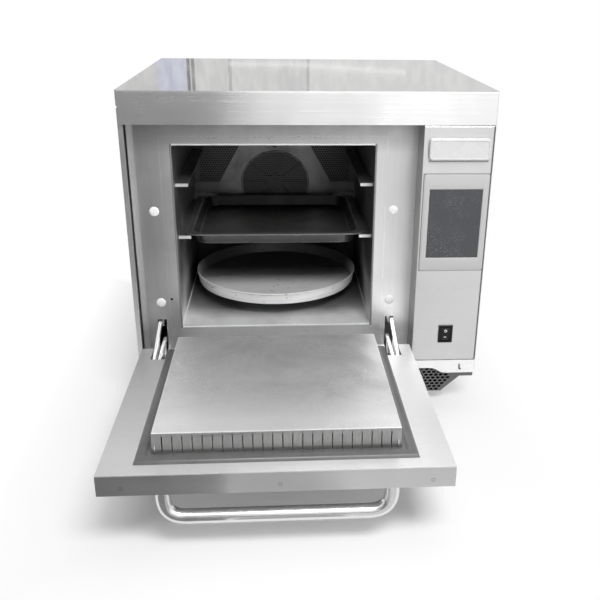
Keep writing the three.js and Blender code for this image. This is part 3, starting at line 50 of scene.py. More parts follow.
# %% [markdown]
# ## The camera
# The photograph was taken from a little above the oven and slightly from its left, with the whole width in
# view. A camera needs a place, three angles and a focal length. They were found by fitting corners of known
# size, so the lens here is the fitted one, with a very small shift because the picture was cropped off
# centre.

# %% The camera
CAMERA_PLACE = (-0.0522, -1.3042, 0.7073)
CAMERA_TURNS = (4.2, 22.8, -0.8)
FOCAL_LENGTH = 46.716
SENSOR_WIDTH = 36
LENS_SHIFT = (-0.0532, 0.018)

scene = bpy.context.scene
camera_data = bpy.data.cameras.new("studio_camera")
camera = bpy.data.objects.new("studio_camera", camera_data)
scene.collection.objects.link(camera)
scene.camera = camera
camera_data.sensor_width = SENSOR_WIDTH
camera_data.lens = FOCAL_LENGTH
camera_data.shift_x, camera_data.shift_y = LENS_SHIFT
yaw, pitch, roll = (math.radians(angle) for angle in CAMERA_TURNS)
forward = Vector((math.sin(yaw) * math.cos(pitch), math.cos(yaw) * math.cos(pitch), -math.sin(pitch)))
level_right = Vector((math.cos(yaw), -math.sin(yaw), 0))
level_down = forward.cross(level_right)
right = math.cos(roll) * level_right + math.sin(roll) * level_down
down = math.cos(roll) * level_down - math.sin(roll) * level_right
camera.matrix_world = Matrix((right, -down, -forward)).transposed().to_4x4()
camera.location = CAMERA_PLACE
print("the camera looks along", [round(v, 3) for v in forward])

# %% [markdown]
# ## Helpers for node trees
# Node trees are wired many times below, so one small helper makes a node, sets its options and fills its
# sockets: a plain value is typed in, and a socket is linked.


# %% A helper that makes and wires a node
def put(tree, kind, sockets=None, **options):
    node = tree.nodes.new("ShaderNode" + kind)
    for key, value in options.items():
        setattr(node, key, value)
    for key, value in (sockets or {}).items():
        if isinstance(value, bpy.types.NodeSocket):
            tree.links.new(value, node.inputs[key])
        else:
            node.inputs[key].default_value = value
    return node


def empty_tree(owner):
    owner.use_nodes = True
    owner.node_tree.nodes.clear()
    return owner.node_tree


# %% [markdown]
# A Math node does one step of a sum. With a short name for each kind of step, a formula reads from the
# inside out. Two more helpers measure how far a place lies from a rectangle and from a point.


# %% Sums made of nodes
def maths(tree, operation, a, b=0.0, clamp=False):
    return put(tree, "Math", {0: a, 1: b}, operation=operation, use_clamp=clamp).outputs[0]


def plus(tree, a, b):
    return maths(tree, "ADD", a, b)


def minus(tree, a, b):
    return maths(tree, "SUBTRACT", a, b)


def times(tree, a, b):
    return maths(tree, "MULTIPLY", a, b)


def larger(tree, a, b):
    return maths(tree, "MAXIMUM", a, b)


def below(tree, value, limit):
    return maths(tree, "LESS_THAN", value, limit)


def away(tree, value, middle):
    return maths(tree, "ABSOLUTE", minus(tree, value, middle))


def from_box(tree, a, b, middle, half):
    """How far a place lies outside a rectangle. Inside it the value is less than zero."""
    beside = minus(tree, away(tree, a, middle[0]), half[0])
    above = minus(tree, away(tree, b, middle[1]), half[1])
    return larger(tree, beside, above)


def from_point(tree, a, b, middle):
    squares = [maths(tree, "POWER", minus(tree, value, point), 2) for value, point in zip((a, b), middle)]
    return maths(tree, "SQRT", plus(tree, *squares))


# %% [markdown]
# A mask is a value between 0 and 1. The range helper turns a measure into one, and the colour helpers use
# it to lay one tone over another.


# %% Masks, places and tones
def remap(tree, value, low, high, to_low=0, to_high=1):
    return put(tree, "MapRange", {0: value, 1: low, 2: high, 3: to_low, 4: to_high}).outputs[0]


def within(tree, value, low, high, soft=0.0004):
    rise = remap(tree, value, low - soft, low + soft)
    return times(tree, rise, remap(tree, value, high - soft, high + soft, 1, 0))


def spot_of(tree):
    return put(tree, "TexCoord").outputs["Object"]


def places(tree):
    return put(tree, "SeparateXYZ", {0: spot_of(tree)}).outputs


def noise(tree, spot, scale, detail, **more):
    return put(tree, "TexNoise", {"Vector": spot, "Scale": scale, "Detail": detail, **more}).outputs[0]


def grey(value, warmth=0.0):
    return (value * (1 + warmth), value, value * (1 - warmth), 1)


def scaled(colour, factor):
    return [min(1, value * factor) for value in colour[:3]] + [1]


def blend_colour(tree, factor, a, b):
    return put(tree, "Mix", {0: factor, 6: a, 7: b}, data_type="RGBA").outputs[2]


def toned(tree, colour, mask, tone, strength=1):
    """The colour, turned towards a grey of this tone where the mask is strong."""
    factor = mask if strength == 1 else times(tree, mask, strength)
    return blend_colour(tree, factor, colour, grey(tone))


# %% [markdown]
# ## Light and backdrop
# Steel shows what stands around it. A product studio gives it a white room, soft boxes overhead and in
# front, and a few grey flags that only the metal sees, so that a face turned to one side comes out darker
# than its neighbour. The world is plain white to the camera and to reflections, and dimmer as a lamp, so
# that colours keep their value. A Light Path node tells the two apart: it knows which kind of ray asks.


# %% The world
def seen_directly(tree):
    ray = put(tree, "LightPath").outputs
    seen = larger(tree, ray["Is Camera Ray"], ray["Is Glossy Ray"])
    return larger(tree, seen, ray["Is Transmission Ray"])


AMBIENT = 0.24
scene.view_settings.view_transform = "Standard"
scene.world = bpy.data.worlds.new("white_room")
tree = empty_tree(scene.world)
as_lamp = put(tree, "Background", {"Color": grey(1), "Strength": AMBIENT})
as_seen = put(tree, "Background", {"Color": grey(1), "Strength": 1})
both = put(tree, "MixShader", {0: seen_directly(tree), 1: as_lamp.outputs[0], 2: as_seen.outputs[0]})
put(tree, "OutputWorld", {0: both.outputs[0]})
print("the white room lights with strength", AMBIENT)

# %% [markdown]
# Three soft boxes light the oven. The top is nearly a mirror and would show the overhead one as a glare, so
# that box is hidden from reflections, and a card on the ceiling takes its place there.


# %% Soft boxes
def soft_box(name, place, target, size, power):
    data = bpy.data.lights.new(name, "AREA")
    data.shape = "RECTANGLE"
    data.size, data.size_y = size
    data.energy = power
    lamp = bpy.data.objects.new(name, data)
    scene.collection.objects.link(lamp)
    lamp.location = place
    lamp.rotation_mode = "QUATERNION"
    lamp.rotation_quaternion = (Vector(target) - Vector(place)).to_track_quat("-Z", "Y")
    print(name, "gives", power, "W")
    return lamp


overhead_box = soft_box("overhead_box", (0.1, 0.2, 2.6), (0, -0.1, 0.2), (2.2, 2.2), 10)
overhead_box.visible_glossy = False
soft_box("key_box", (0.35, -1.5, 1.8), (-0.05, 0, 0.25), (0.9, 0.5), 36)
soft_box("front_right_box", (1.7, -1.7, 1.3), (0, -0.1, 0.3), (1.0, 1.2), 5)

# %% [markdown]
# ## The floor and the flags
# The floor is pale and shows white to the camera where nothing shades it. Close to the oven it stays a lit
# surface that keeps the soft shadow, and farther off it fades into plain white.


# %% The floor
def standing(x, z, y):
    return [(x[0], y, z[0]), (x[1], y, z[0]), (x[1], y, z[1]), (x[0], y, z[1])]


def lying(x, y, z):
    return [(x[0], y[0], z), (x[1], y[0], z), (x[1], y[1], z), (x[0], y[1], z)]


def flat_sheet(name, corners):
    mesh = bpy.data.meshes.new(name)
    mesh.from_pydata(corners, [], [tuple(range(len(corners)))])
    sheet = bpy.data.objects.new(name, mesh)
    scene.collection.objects.link(sheet)
    return sheet


FLOOR_REACH = (-7, 7)
OVEN_PLAN = ((-0.04, 0), (0.2, 0.37))
WHITE_FROM = (0.0, 0.24, 0.08, 1)
floor = flat_sheet("studio_floor", lying(FLOOR_REACH, FLOOR_REACH, 0))
floor_paint = bpy.data.materials.new("pale_floor")
tree = empty_tree(floor_paint)
grain = put(tree, "TexNoise", {"Scale": 3, "Detail": 4}).outputs[0]
plain = put(tree, "BsdfDiffuse", {"Color": blend_colour(tree, grain, grey(0.93), grey(0.95))})
x, y, z = places(tree)
far_off = remap(tree, from_box(tree, x, y, *OVEN_PLAN), *WHITE_FROM)
white = put(tree, "Emission", {"Color": grey(1), "Strength": 1})
faded = put(tree, "MixShader", {0: far_off, 1: plain.outputs[0], 2: white.outputs[0]})
shown = put(tree, "MixShader", {0: seen_directly(tree), 1: plain.outputs[0], 2: faded.outputs[0]})
put(tree, "OutputMaterial", {0: shown.outputs[0]})
floor.data.materials.append(floor_paint)
print("the floor is", FLOOR_REACH[1] - FLOOR_REACH[0], "m wide")

# %% [markdown]
# A flag is a glowing card that is hidden from the camera and casts no shadow, so only reflections find it.
# Some stand in front of the oven, some lie on the floor before the door, and one hangs overhead.


# %% The flags
def glowing_card(name, corners, colour_of):
    card = flat_sheet(name, corners)
    card.visible_camera = card.visible_diffuse = card.visible_shadow = False
    card.visible_transmission = card.visible_volume_scatter = False
    paint = bpy.data.materials.new(name)
    tree = empty_tree(paint)
    glow = put(tree, "Emission", {"Color": colour_of(tree), "Strength": 1})
    put(tree, "OutputMaterial", {0: glow.outputs[0]})
    card.data.materials.append(paint)


def flag(name, corners, tone):
    def cloudy(tree):
        cloud = put(tree, "TexNoise", {"Scale": 1.3, "Detail": 2}).outputs[0]
        return blend_colour(tree, cloud, grey(tone * 0.8), grey(tone * 1.2))

    glowing_card(name, corners, cloudy)
    print(name, "has tone", tone)


FLAG_Y = -1.62
FLAG_LEFT = -2.8
LOW_Z = (0.02, 0.265)
FOOT_Y = (-0.95, -0.5)
FOOT_Z = 0.012
flag("left_flag", standing((FLAG_LEFT, -0.16), (0.27, 1.2), FLAG_Y), 0.41)
flag("low_left_flag", standing((FLAG_LEFT, -0.2), LOW_Z, FLAG_Y), 0.07)
flag("low_flag", standing((-0.19, 0.33), LOW_Z, FLAG_Y), 0.16)
flag("ceiling_flag", lying((-1.3, 1.3), (-0.7, 1.7), 2.5), 0.72)
flag("left_floor_flag",
     [(FLAG_LEFT, -1.6, 0.015), (-0.2, -1.6, 0.015), (-0.24, -0.62, 0.015), (FLAG_LEFT, -0.62, 0.015)], 0.1)
flag("door_foot_left", lying((-0.75, -0.13), FOOT_Y, FOOT_Z), 0.23)
flag("door_foot_middle", lying((-0.12, 0.04), FOOT_Y, FOOT_Z), 0.42)
flag("door_foot_right", lying((0.05, 0.3), FOOT_Y, FOOT_Z), 0.66)

# %% [markdown]
# The top is almost a mirror, so it needs a room to show: a wall with a bluish blind, a door post and a pale
# marble-like panel. They stand well behind the oven. A thin bent line of light runs along them.

# %% The room behind the oven
ROOM_Y = 1.9
ROOM_HALF = 0.8
# Each band has its left end, its tone and how blue it is
ROOM_BANDS = [(-0.8, 0.56, 0), (-0.515, 0.53, 0.08), (-0.405, 0.2, 0), (-0.393, 0.56, 0), (-0.385, 0.28, 0),
              (-0.372, 0.6, 0), (-0.24, 0.36, 0), (-0.228, 0.62, 0), (0.066, 0.46, 0), (0.076, 0.68, 0)]
VEINS = (0.42, 0.6, 0, 0.3)
LINE_Z = 0.7
LINE_BEND = (0.03, 0.067)
LINE_REACH = (0.115, 0.35)
LINE_HALF = 0.0022


def room_colour(tree):
    x, y, z = places(tree)
    bands = put(tree, "ValToRGB", {0: remap(tree, x, -ROOM_HALF, ROOM_HALF)})
    ramp = bands.color_ramp
    ramp.interpolation = "CONSTANT"
    for number, (left, tone, blue) in enumerate(ROOM_BANDS):
        stop = ramp.elements[0] if number == 0 else ramp.elements.new((left + ROOM_HALF) / (2 * ROOM_HALF))
        stop.color = (tone, tone * (1 + blue * 0.6), tone * (1 + blue * 3), 1)
    ramp.elements.remove(ramp.elements[-1])
    veins = noise(tree, spot_of(tree), 16, 6, Distortion=2.2)
    veined = blend_colour(tree, remap(tree, veins, *VEINS), bands.outputs[0], grey(0.95, 0.02))
    climb = times(tree, larger(tree, minus(tree, x, LINE_BEND[0]), 0), LINE_BEND[1])
    off_line = away(tree, minus(tree, z, LINE_Z), climb)
    in_reach = below(tree, away(tree, x, LINE_REACH[0]), LINE_REACH[1])
    wire = times(tree, below(tree, off_line, LINE_HALF), in_reach)
    return toned(tree, veined, wire, 1.5)


glowing_card("room_wall", standing((-ROOM_HALF * 2, ROOM_HALF * 2), (0.3, 2.2), ROOM_Y), room_colour)
print("bands on the wall:", len(ROOM_BANDS))

# %% [markdown]
# ## Effects that many finishes share
# Brushing, smudges, scratches, worn edges and grease are each built once as a node group with named
# sockets. A finish then places the group and gives it its own scale. Each group measures in the piece's own
# metres, so an effect keeps its real size and travels with the piece when a door swings.


# %% Helpers for node groups
def new_group(name, given, results):
    tree = bpy.data.node_groups.new(name, "ShaderNodeTree")
    for title, kind, value in given:
        socket = tree.interface.new_socket(title, in_out="INPUT", socket_type="NodeSocket" + kind)
        socket.default_value = value
    for title, kind in results:
        tree.interface.new_socket(title, in_out="OUTPUT", socket_type="NodeSocket" + kind)
    place = tree.nodes.new("NodeGroupInput")
    return tree, place.outputs, spot_of(tree)


def close_group(tree, **results):
    out = tree.nodes.new("NodeGroupOutput")
    for title, socket in results.items():
        tree.links.new(socket, out.inputs[title])
    print("group", tree.name, "with", len(tree.nodes), "nodes")
    return tree


def effect(tree, group, **values):
    return put(tree, "Group", values, node_tree=group).outputs


def stretched(tree, spot, factor):
    return put(tree, "VectorMath", {0: spot, 1: factor}, operation="MULTIPLY").outputs[0]


# %% [markdown]
# Brushed steel is ground with a belt, so it carries thousands of fine parallel lines and a few wider
# streaks. Noise that is squeezed across one direction and drawn out along the other gives both.

# %% Brushing
tree, given, spot = new_group(
    "brushed_lines", [("Stretch", "Vector", (6, 6, 900))], [("Lines", "Float"), ("Streaks", "Float")])
along = stretched(tree, spot, given["Stretch"])
lines = noise(tree, along, 1, 3, Roughness=0.7)
streaks = noise(tree, stretched(tree, along, (0.4, 0.4, 0.06)), 1, 2)
brushed_lines = close_group(tree, Lines=lines, Streaks=streaks)

# %% [markdown]
# Hands and cloths leave soft marks that change how sharp a reflection is, far more than they change its
# colour.

# %% Smudges
tree, given, spot = new_group("wiped_smudges", [("Scale", "Float", 7.0)], [("Smudge", "Float")])
broad = noise(tree, spot, given["Scale"], 5, Distortion=1.2)
arcs = put(tree, "TexWave", {"Vector": spot, "Scale": given["Scale"], "Distortion": 9, "Detail": 2})
smudge = times(tree, broad, remap(tree, arcs.outputs[1], 0, 1, 0.94, 1.05))
wiped_smudges = close_group(tree, Smudge=remap(tree, smudge, 0.32, 0.68))

# %% [markdown]
# Scratches are the narrow edges between the cells of a Voronoi pattern, drawn out one way and turned, and
# kept only where a second noise is strong, so that they come in short lengths.

# %% Scratches
SCRATCH_WAYS = ((0.5, (1, 9, 1)), (-0.7, (7, 1, 1)), (1.9, (1, 6, 2)))
WAVE_SIZE = (0.03, 0.03, 0.03)
tree, given, spot = new_group(
    "fine_scratches", [("Scale", "Float", 22.0), ("Width", "Float", 0.012)], [("Scratch", "Float")])
marks = None
for turn, squeeze in SCRATCH_WAYS:
    turned = put(tree, "VectorRotate", {"Vector": spot, "Angle": turn}, rotation_type="Z_AXIS").outputs[0]
    wavy = put(tree, "TexNoise", {"Vector": turned, "Scale": 9, "Detail": 1}).outputs[1]
    bent = put(tree, "VectorMath", {0: wavy, 1: WAVE_SIZE, 2: turned}, operation="MULTIPLY_ADD").outputs[0]
    cells = put(tree, "TexVoronoi", {"Vector": stretched(tree, bent, squeeze), "Scale": given["Scale"]},
                feature="DISTANCE_TO_EDGE")
    thin = below(tree, cells.outputs["Distance"], given["Width"])
    kept = times(tree, thin, remap(tree, noise(tree, turned, 14, 2), 0.52, 0.66))
    marks = kept if marks is None else larger(tree, marks, kept)
fine_scratches = close_group(tree, Scratch=marks)

# %% [markdown]
# Where sheet metal is folded or a casting has a corner, hands and cloths rub it bright. The Bevel node
# looks at neighbouring faces: where its normal leaves the true one, an edge is near.

# %% Worn edges
tree, given, spot = new_group("worn_edges", [("Width", "Float", 0.0015)], [("Edge", "Float")])
eased = put(tree, "Bevel", {"Radius": given["Width"]}, samples=4).outputs[0]
true_normal = put(tree, "NewGeometry").outputs["Normal"]
agree = put(tree, "VectorMath", {0: eased, 1: true_normal}, operation="DOT_PRODUCT").outputs["Value"]
patches = remap(tree, noise(tree, spot, 60, 3), 0.3, 0.6, 0.3, 1)
worn_edges = close_group(tree, Edge=times(tree, remap(tree, agree, 0.99, 0.8), patches))

# %% [markdown]
# Grease that has baked on is blotchy: large dark clouds with a crust of small specks on top.

# %% Baked grease
tree, given, spot = new_group(
    "baked_grease", [("Scale", "Float", 9.0), ("Specks", "Float", 160.0)],
    [("Stain", "Float"), ("Speck", "Float")])
cloud = noise(tree, spot, given["Scale"], 7, Roughness=0.62, Distortion=0.6)
dots = put(tree, "TexVoronoi", {"Vector": spot, "Scale": given["Specks"]}).outputs["Distance"]
speck = times(tree, remap(tree, dots, 0.22, 0.1), remap(tree, noise(tree, spot, 12, 3), 0.5, 0.62))
baked_grease = close_group(tree, Stain=remap(tree, cloud, 0.35, 0.68), Speck=speck)

# %% [markdown]
# ## Finishes
# Every finish is one Principled shader. Values that are the same all over sit on its own sockets, and what
# changes over the surface comes from the groups. Three small helpers start a finish, feed it and raise its
# grain.


# %% Helpers for finishes
def new_finish(name, roughness, metallic=0.0, **sockets):
    paint = bpy.data.materials.new(name)
    paint.use_nodes = True
    shader = paint.node_tree.nodes["Principled BSDF"]
    shader.inputs["Roughness"].default_value = roughness
    shader.inputs["Metallic"].default_value = metallic
    for key, value in sockets.items():
        shader.inputs[key.replace("_", " ")].default_value = value
    return paint, paint.node_tree, shader


def feed(tree, shader, **links):
    for key, socket in links.items():
        tree.links.new(socket, shader.inputs[key.replace("_", " ")])


def bump(tree, height, strength, distance):
    return put(tree, "Bump", {"Height": height, "Strength": strength, "Distance": distance}).outputs[0]


# %% [markdown]
# Brushed sheet has lines, smudges, scratches and worn edges at once. The lines give it a grain, so its
# highlight is drawn out to one side: that is what Anisotropic does, and the Tangent says to which side. The
# cover's top is polished much finer than its lip, so the finish can have a second roughness for faces that
# look up.

# %% Brushed steel
CROSSWAYS = (4, 4, 520)
LENGTHWAYS = (520, 4, 520)
UPWAYS = (520, 520, 4)
DOORWAYS = (5, 900, 900)
GRAIN_AXIS = (0, 0.05, 1)


def brushed_steel(name, tone, roughness, stretch, anisotropy=0.7, smudge=0.5, scratch=0.15,
                  top_roughness=None, metallic=1.0, relief=0.05, marked=None):
    across = 0.0 if stretch == UPWAYS else 0.25
    paint, tree, shader = new_finish(name, roughness, metallic, Anisotropic=anisotropy,
                                     Anisotropic_Rotation=across)
    brush = effect(tree, brushed_lines, Stretch=stretch)
    hands = effect(tree, wiped_smudges)["Smudge"]
    marks = effect(tree, fine_scratches)["Scratch"]
    worn = effect(tree, worn_edges)["Edge"]
    colour = blend_colour(tree, brush["Streaks"], grey(tone * 0.94), grey(tone * 1.04))
    colour = toned(tree, colour, brush["Lines"], tone * 0.8, 0.22)
    colour = blend_colour(tree, times(tree, hands, smudge * 0.3), colour, grey(tone * 0.72, 0.01))
    colour = toned(tree, colour, marks, min(1, tone * 1.15), scratch)
    colour = toned(tree, colour, worn, min(1, tone * 1.2), 0.6)
    if marked:
        colour = marked(tree, colour)
    shine = remap(tree, hands, 0, 1, roughness * 0.88, roughness * (1 + 0.35 * smudge))
    shine = plus(tree, shine, remap(tree, brush["Lines"], 0.3, 0.7, -0.03, 0.03))
    facing = put(tree, "NewGeometry").outputs["Normal"]
    if top_roughness is not None:
        upward = remap(tree, put(tree, "SeparateXYZ", {0: facing}).outputs["Z"], 0.6, 0.9)
        shine = put(tree, "Mix", {0: upward, 2: shine, 3: top_roughness}, data_type="FLOAT").outputs[0]
    grain = put(tree, "VectorMath", {0: facing, 1: GRAIN_AXIS}, operation="CROSS_PRODUCT").outputs[0]
    feed(tree, shader, Base_Color=colour, Roughness=shine, Tangent=grain,
         Normal=bump(tree, brush["Lines"], relief, 0.0002))
    print("finish", name, "tone", tone)
    return paint


# In order: tone, roughness and the way that the lines run
side_steel = brushed_steel("side_steel", 0.72, 0.33, LENGTHWAYS, scratch=0.3)
trim_steel = brushed_steel("trim_steel", 0.93, 0.28, CROSSWAYS, metallic=0.6)
# The chin's very dark tone is painted shade on a sheet that faces down and forward
shaded_chin_steel = brushed_steel("shaded_chin_steel", 0.17, 0.4, CROSSWAYS)

# %% [markdown]
# Some sheets carry marks of their own, which sit at fixed places. Each mark below is a mask over a range of
# metres: the first number is where it begins and the second where it is full, and two more give its strength
# at both. A band has its two ends, and how soft they are. The cover's lip has a painted highlight along the
# fold at its top and painted shade on its right end. The door's frame has painted shade on the left, and its
# front strip shows three faint spots where it is welded from behind.

# %% Marks on the cover and the door
COVER_HIGHLIGHT_Z = (0.5532, 0.554)
COVER_HIGHLIGHT_Y = (-0.083, -0.0838)
COVER_END_SHADE_X = (0.2912, 0.2924, 0, 0.85)
COVER_FRONT_Y = -0.08
FRAME_SHADE_Y = (-0.42, -0.12, 0.08, 0.62)
FRAME_SHADE_X = (-0.18, -0.22)
WELDS_X = (-0.255, -0.054, 0.143)
WELDS_Z = 0.119
WELD_RING = (0.0016, 0.0028, 0.0007)
STRIP_Y = -0.473


def cover_marks(tree, colour):
    x, y, z = places(tree)
    # A painted highlight along the fold at the top of the lip
    fold = times(tree, remap(tree, z, *COVER_HIGHLIGHT_Z), remap(tree, y, *COVER_HIGHLIGHT_Y))
    # Painted shade on the right end of the lip
    end = times(tree, remap(tree, x, *COVER_END_SHADE_X), below(tree, y, COVER_FRONT_Y))
    return toned(tree, toned(tree, colour, fold, 1), end, 0.12)


def frame_marks(tree, colour):
    x, y, z = places(tree)
    # Painted shade on the left of the door frame
    shaded_left = times(tree, remap(tree, y, *FRAME_SHADE_Y), remap(tree, x, *FRAME_SHADE_X))
    return toned(tree, colour, shaded_left, 0.2)


def strip_marks(tree, colour):
    x, y, z = places(tree)
    for weld_x in WELDS_X:
        from_weld = from_point(tree, x, z, (weld_x, WELDS_Z))
        ring = times(tree, within(tree, from_weld, *WELD_RING), below(tree, y, STRIP_Y))
        colour = toned(tree, colour, ring, 0.1, 0.45)
    return colour


# %% [markdown]
# On the front plate the seal has pressed a pale line and left crumbs over the opening, a shadow of the lip is
# painted across its top, painted shade darkens its left part, and it is darker along a narrow line at its
# left edge. The panel carries painted shade where it turns into the recess and at its right end, a painted
# shadow under the badge plate, and a dark line round the bezel.

# %% Marks on the front plate and the panel
CAVITY_X = -0.0565
SEAL_PRINT = ((CAVITY_X, 0.3045), (0.1852, 0.1745))
PRINT_LINE = (-0.0012, 0.0012, 0.0009)
PRINT_INSIDE = (0.0, -0.004)
CRUMBS_Z = (0.475, 0.4795, 0.001)
CRUMBS_X = (-0.2, 0.09, 0.004)
LIP_SHADOW_Z = (0.452, 0.497, 0, 0.62)
PLATE_SHADE_X = (-0.19, -0.26, 0, 0.42)
PLATE_DARK_LINE_X = (-0.3, -0.2912)
PLATE_BAND_X = (-0.2906, -0.281, 0.0015)
PANEL_TURN_SHADE_X = (0.1798, 0.1792)
PANEL_END_SHADE_X = (0.2895, 0.3)
BADGE_SHADOW_X = (0.1885, 0.2845, 0.001)
BADGE_SHADOW_Z = (0.4478, 0.4515, 0.0008)
BEZEL_EDGE = ((0.236, 0.3465), (0.0535, 0.0815))
BEZEL_LINE = (-0.001, 0.0014, 0.0006)


def plate_marks(tree, colour):
    x, y, z = places(tree)
    spot = spot_of(tree)
    from_seal = from_box(tree, x, z, *SEAL_PRINT)
    patchy = noise(tree, spot, 45, 4)
    line = times(tree, within(tree, from_seal, *PRINT_LINE), remap(tree, patchy, 0.38, 0.6, 0.1, 1))
    colour = toned(tree, colour, line, 0.98, 0.5)
    colour = toned(tree, colour, remap(tree, from_seal, *PRINT_INSIDE), 0.9, 0.2)
    dots = put(tree, "TexVoronoi", {"Vector": spot, "Scale": 280}).outputs["Distance"]
    crumb = times(tree, remap(tree, dots, 0.3, 0.16), within(tree, z, *CRUMBS_Z))
    crumb = times(tree, crumb, within(tree, x, *CRUMBS_X))
    colour = toned(tree, colour, crumb, 0.1, 0.65)
    # A painted shadow of the lip across the top of the plate
    lip_shadow = times(tree, remap(tree, z, *LIP_SHADOW_Z), remap(tree, patchy, 0.3, 0.6, 0.8, 1))
    colour = toned(tree, colour, lip_shadow, 0.16)
    # Painted shade over the left part of the plate
    colour = toned(tree, colour, remap(tree, x, *PLATE_SHADE_X), 0.2)
    # Darker along a narrow line at the left edge
    colour = toned(tree, colour, within(tree, x, *PLATE_DARK_LINE_X), 0.03)
    return toned(tree, colour, within(tree, x, *PLATE_BAND_X), 0.95, 0.5)


def panel_marks(tree, colour):
    x, y, z = places(tree)
    # Painted shade where the panel turns into the recess
    colour = toned(tree, colour, remap(tree, x, *PANEL_TURN_SHADE_X), 0.34)
    # A painted shadow under the badge plate, and a dark line round the bezel
    shadow_under_badge = times(tree, within(tree, x, *BADGE_SHADOW_X), within(tree, z, *BADGE_SHADOW_Z))
    line_round_bezel = within(tree, from_box(tree, x, z, *BEZEL_EDGE), *BEZEL_LINE)
    dust_and_painted_shade = larger(tree, times(tree, shadow_under_badge, 0.75), times(tree, line_round_bezel, 0.6))
    colour = toned(tree, colour, dust_and_painted_shade, 0.08)
    # Painted shade on the right end of the panel
    return toned(tree, colour, within(tree, x, *PANEL_END_SHADE_X), 0.12)


cover_steel = brushed_steel("cover_steel", 0.85, 0.25, CROSSWAYS, anisotropy=0.85, top_roughness=0.045,
                            smudge=0.2, scratch=0.03, relief=0.004, marked=cover_marks)
panel_steel = brushed_steel("panel_steel", 0.62, 0.32, CROSSWAYS, marked=panel_marks)
plate_steel = brushed_steel("plate_steel", 0.82, 0.34, UPWAYS, anisotropy=0.4, smudge=0.6, metallic=0.95,
                            marked=plate_marks)
door_frame_steel = brushed_steel("door_frame_steel", 0.69, 0.4, DOORWAYS, smudge=0.4, metallic=0.5,
                                 marked=frame_marks)
door_skin_steel = brushed_steel("door_skin_steel", 0.66, 0.34, CROSSWAYS, marked=strip_marks)


# %% [markdown]
# The choke plate is the most worn piece: it is wiped after every bake, so its sheet has gone dull grey with
# soft clouds, and hundreds of hair scratches cross it. The lining, the racks and the tray have worn in the
# same way, darker or lighter, so one maker serves them all.

# %% Worn and stained steel
def worn_plate(name, dark, light, roughness, cloud_scale, metallic, marked):
    paint, tree, shader = new_finish(name, roughness, metallic, Anisotropic=0.3)
    lines = effect(tree, brushed_lines, Stretch=(6, 700, 700))["Lines"]
    grime = effect(tree, baked_grease, Scale=cloud_scale, Specks=220)
    hands = effect(tree, wiped_smudges, Scale=4)["Smudge"]
    marks = effect(tree, fine_scratches, Scale=26, Width=0.016)["Scratch"]
    worn = effect(tree, worn_edges, Width=0.003)["Edge"]
    clouds = times(tree, grime["Stain"], remap(tree, hands, 0, 1, 0.5, 1))
    colour = blend_colour(tree, clouds, grey(light), grey(dark))
    colour = toned(tree, colour, lines, dark, 0.35)
    colour = toned(tree, colour, marks, min(1, light * 1.2), 0.6)
    colour = toned(tree, colour, grime["Speck"], dark * 0.4, 0.5)
    colour = toned(tree, colour, worn, 0.9, 0.8)
    feed(tree, shader, Base_Color=marked(tree, colour),
         Roughness=remap(tree, clouds, 0, 1, roughness * 0.85, roughness * 1.3),
         Normal=bump(tree, plus(tree, lines, marks), 0.15, 0.0003))
    print("finish", name, "tones", dark, light)
    return paint


# %% [markdown]
# The lining is darker deeper in, from baked grease together with painted shade, and burnt dark under the
# ceiling, where the grease lands. It stays light on the floor near the door, where a cloth reaches. Behind
# the back wall it is near black, from baked grease and painted shade. A shadow is painted on the floor under
# and round the pan, and a highlight along the fold between the floor and the walls. On the back wall the
# punched fields are dark, painted shade lies on the wall below the tray, and the wall is darker low beside
# the fan and towards its sides.

# %% Burnt lining and back wall, with painted shade and highlights
DEEP_Y = (-0.012, 0.14)
HIGH_Z = (0.15, 0.24)
LINING_BACK_Y = (0.301, 0.305)
PAN_SPOT = (CAVITY_X, 0.1475)
PAN_SHADE = (0.205, 0.145, 0, 0.85)
PAN_SHADE_Z = (0.152, 0.148)
PAN_SHADE_Y = (0.0, 0.05, 0.04, 1)
LEFT_FOLD_X = (-0.2205, -0.2222)
RIGHT_FOLD_X = (0.1075, 0.1092)
FOLD_Z = (0.151, 0.148)
FAN_Z = 0.3192
FAN_FIELD_EDGE = (0.0685, 0.0675)
FIELD_INNER = (0.073, 0.3986, 0.56)
FIELD_Z = (0.323, 0.438)
LOW_DARK_OFF = (0.075, 0.12, 0, 0.7)
LOW_DARK_Z = (0.345, 0.325)
WALL_SIDE_OFF = (0.12, 0.16, 0, 0.45)
WALL_LOW_SHADE_Z = (0.31, 0.29, 0, 0.8)


def burn_and_painted_light(tree, colour):
    x, y, z = places(tree)
    wavering = remap(tree, noise(tree, spot_of(tree), 11, 6), 0.3, 0.7, -0.25, 0.25)
    # Darker deeper in, as baked grease together with painted shade, and burnt under the ceiling
    deep_and_high = larger(tree, remap(tree, y, *DEEP_Y), remap(tree, z, *HIGH_Z))
    colour = toned(tree, colour, maths(tree, "ADD", deep_and_high, wavering, clamp=True), 0.1)
    # Near black behind the back wall: baked grease, with painted shade as well
    colour = toned(tree, colour, remap(tree, y, *LINING_BACK_Y), 0.02)
    # A painted shadow on the floor under and round the pan
    from_pan = from_point(tree, x, y, PAN_SPOT)
    pan_shadow = times(tree, remap(tree, from_pan, *PAN_SHADE), remap(tree, z, *PAN_SHADE_Z))
    colour = toned(tree, colour, times(tree, pan_shadow, remap(tree, y, *PAN_SHADE_Y)), 0.12)
    # A painted highlight along the fold between the floor and the walls
    fold = larger(tree, remap(tree, x, *LEFT_FOLD_X), remap(tree, x, *RIGHT_FOLD_X))
    return toned(tree, colour, times(tree, fold, remap(tree, z, *FOLD_Z)), 0.95, 0.7)


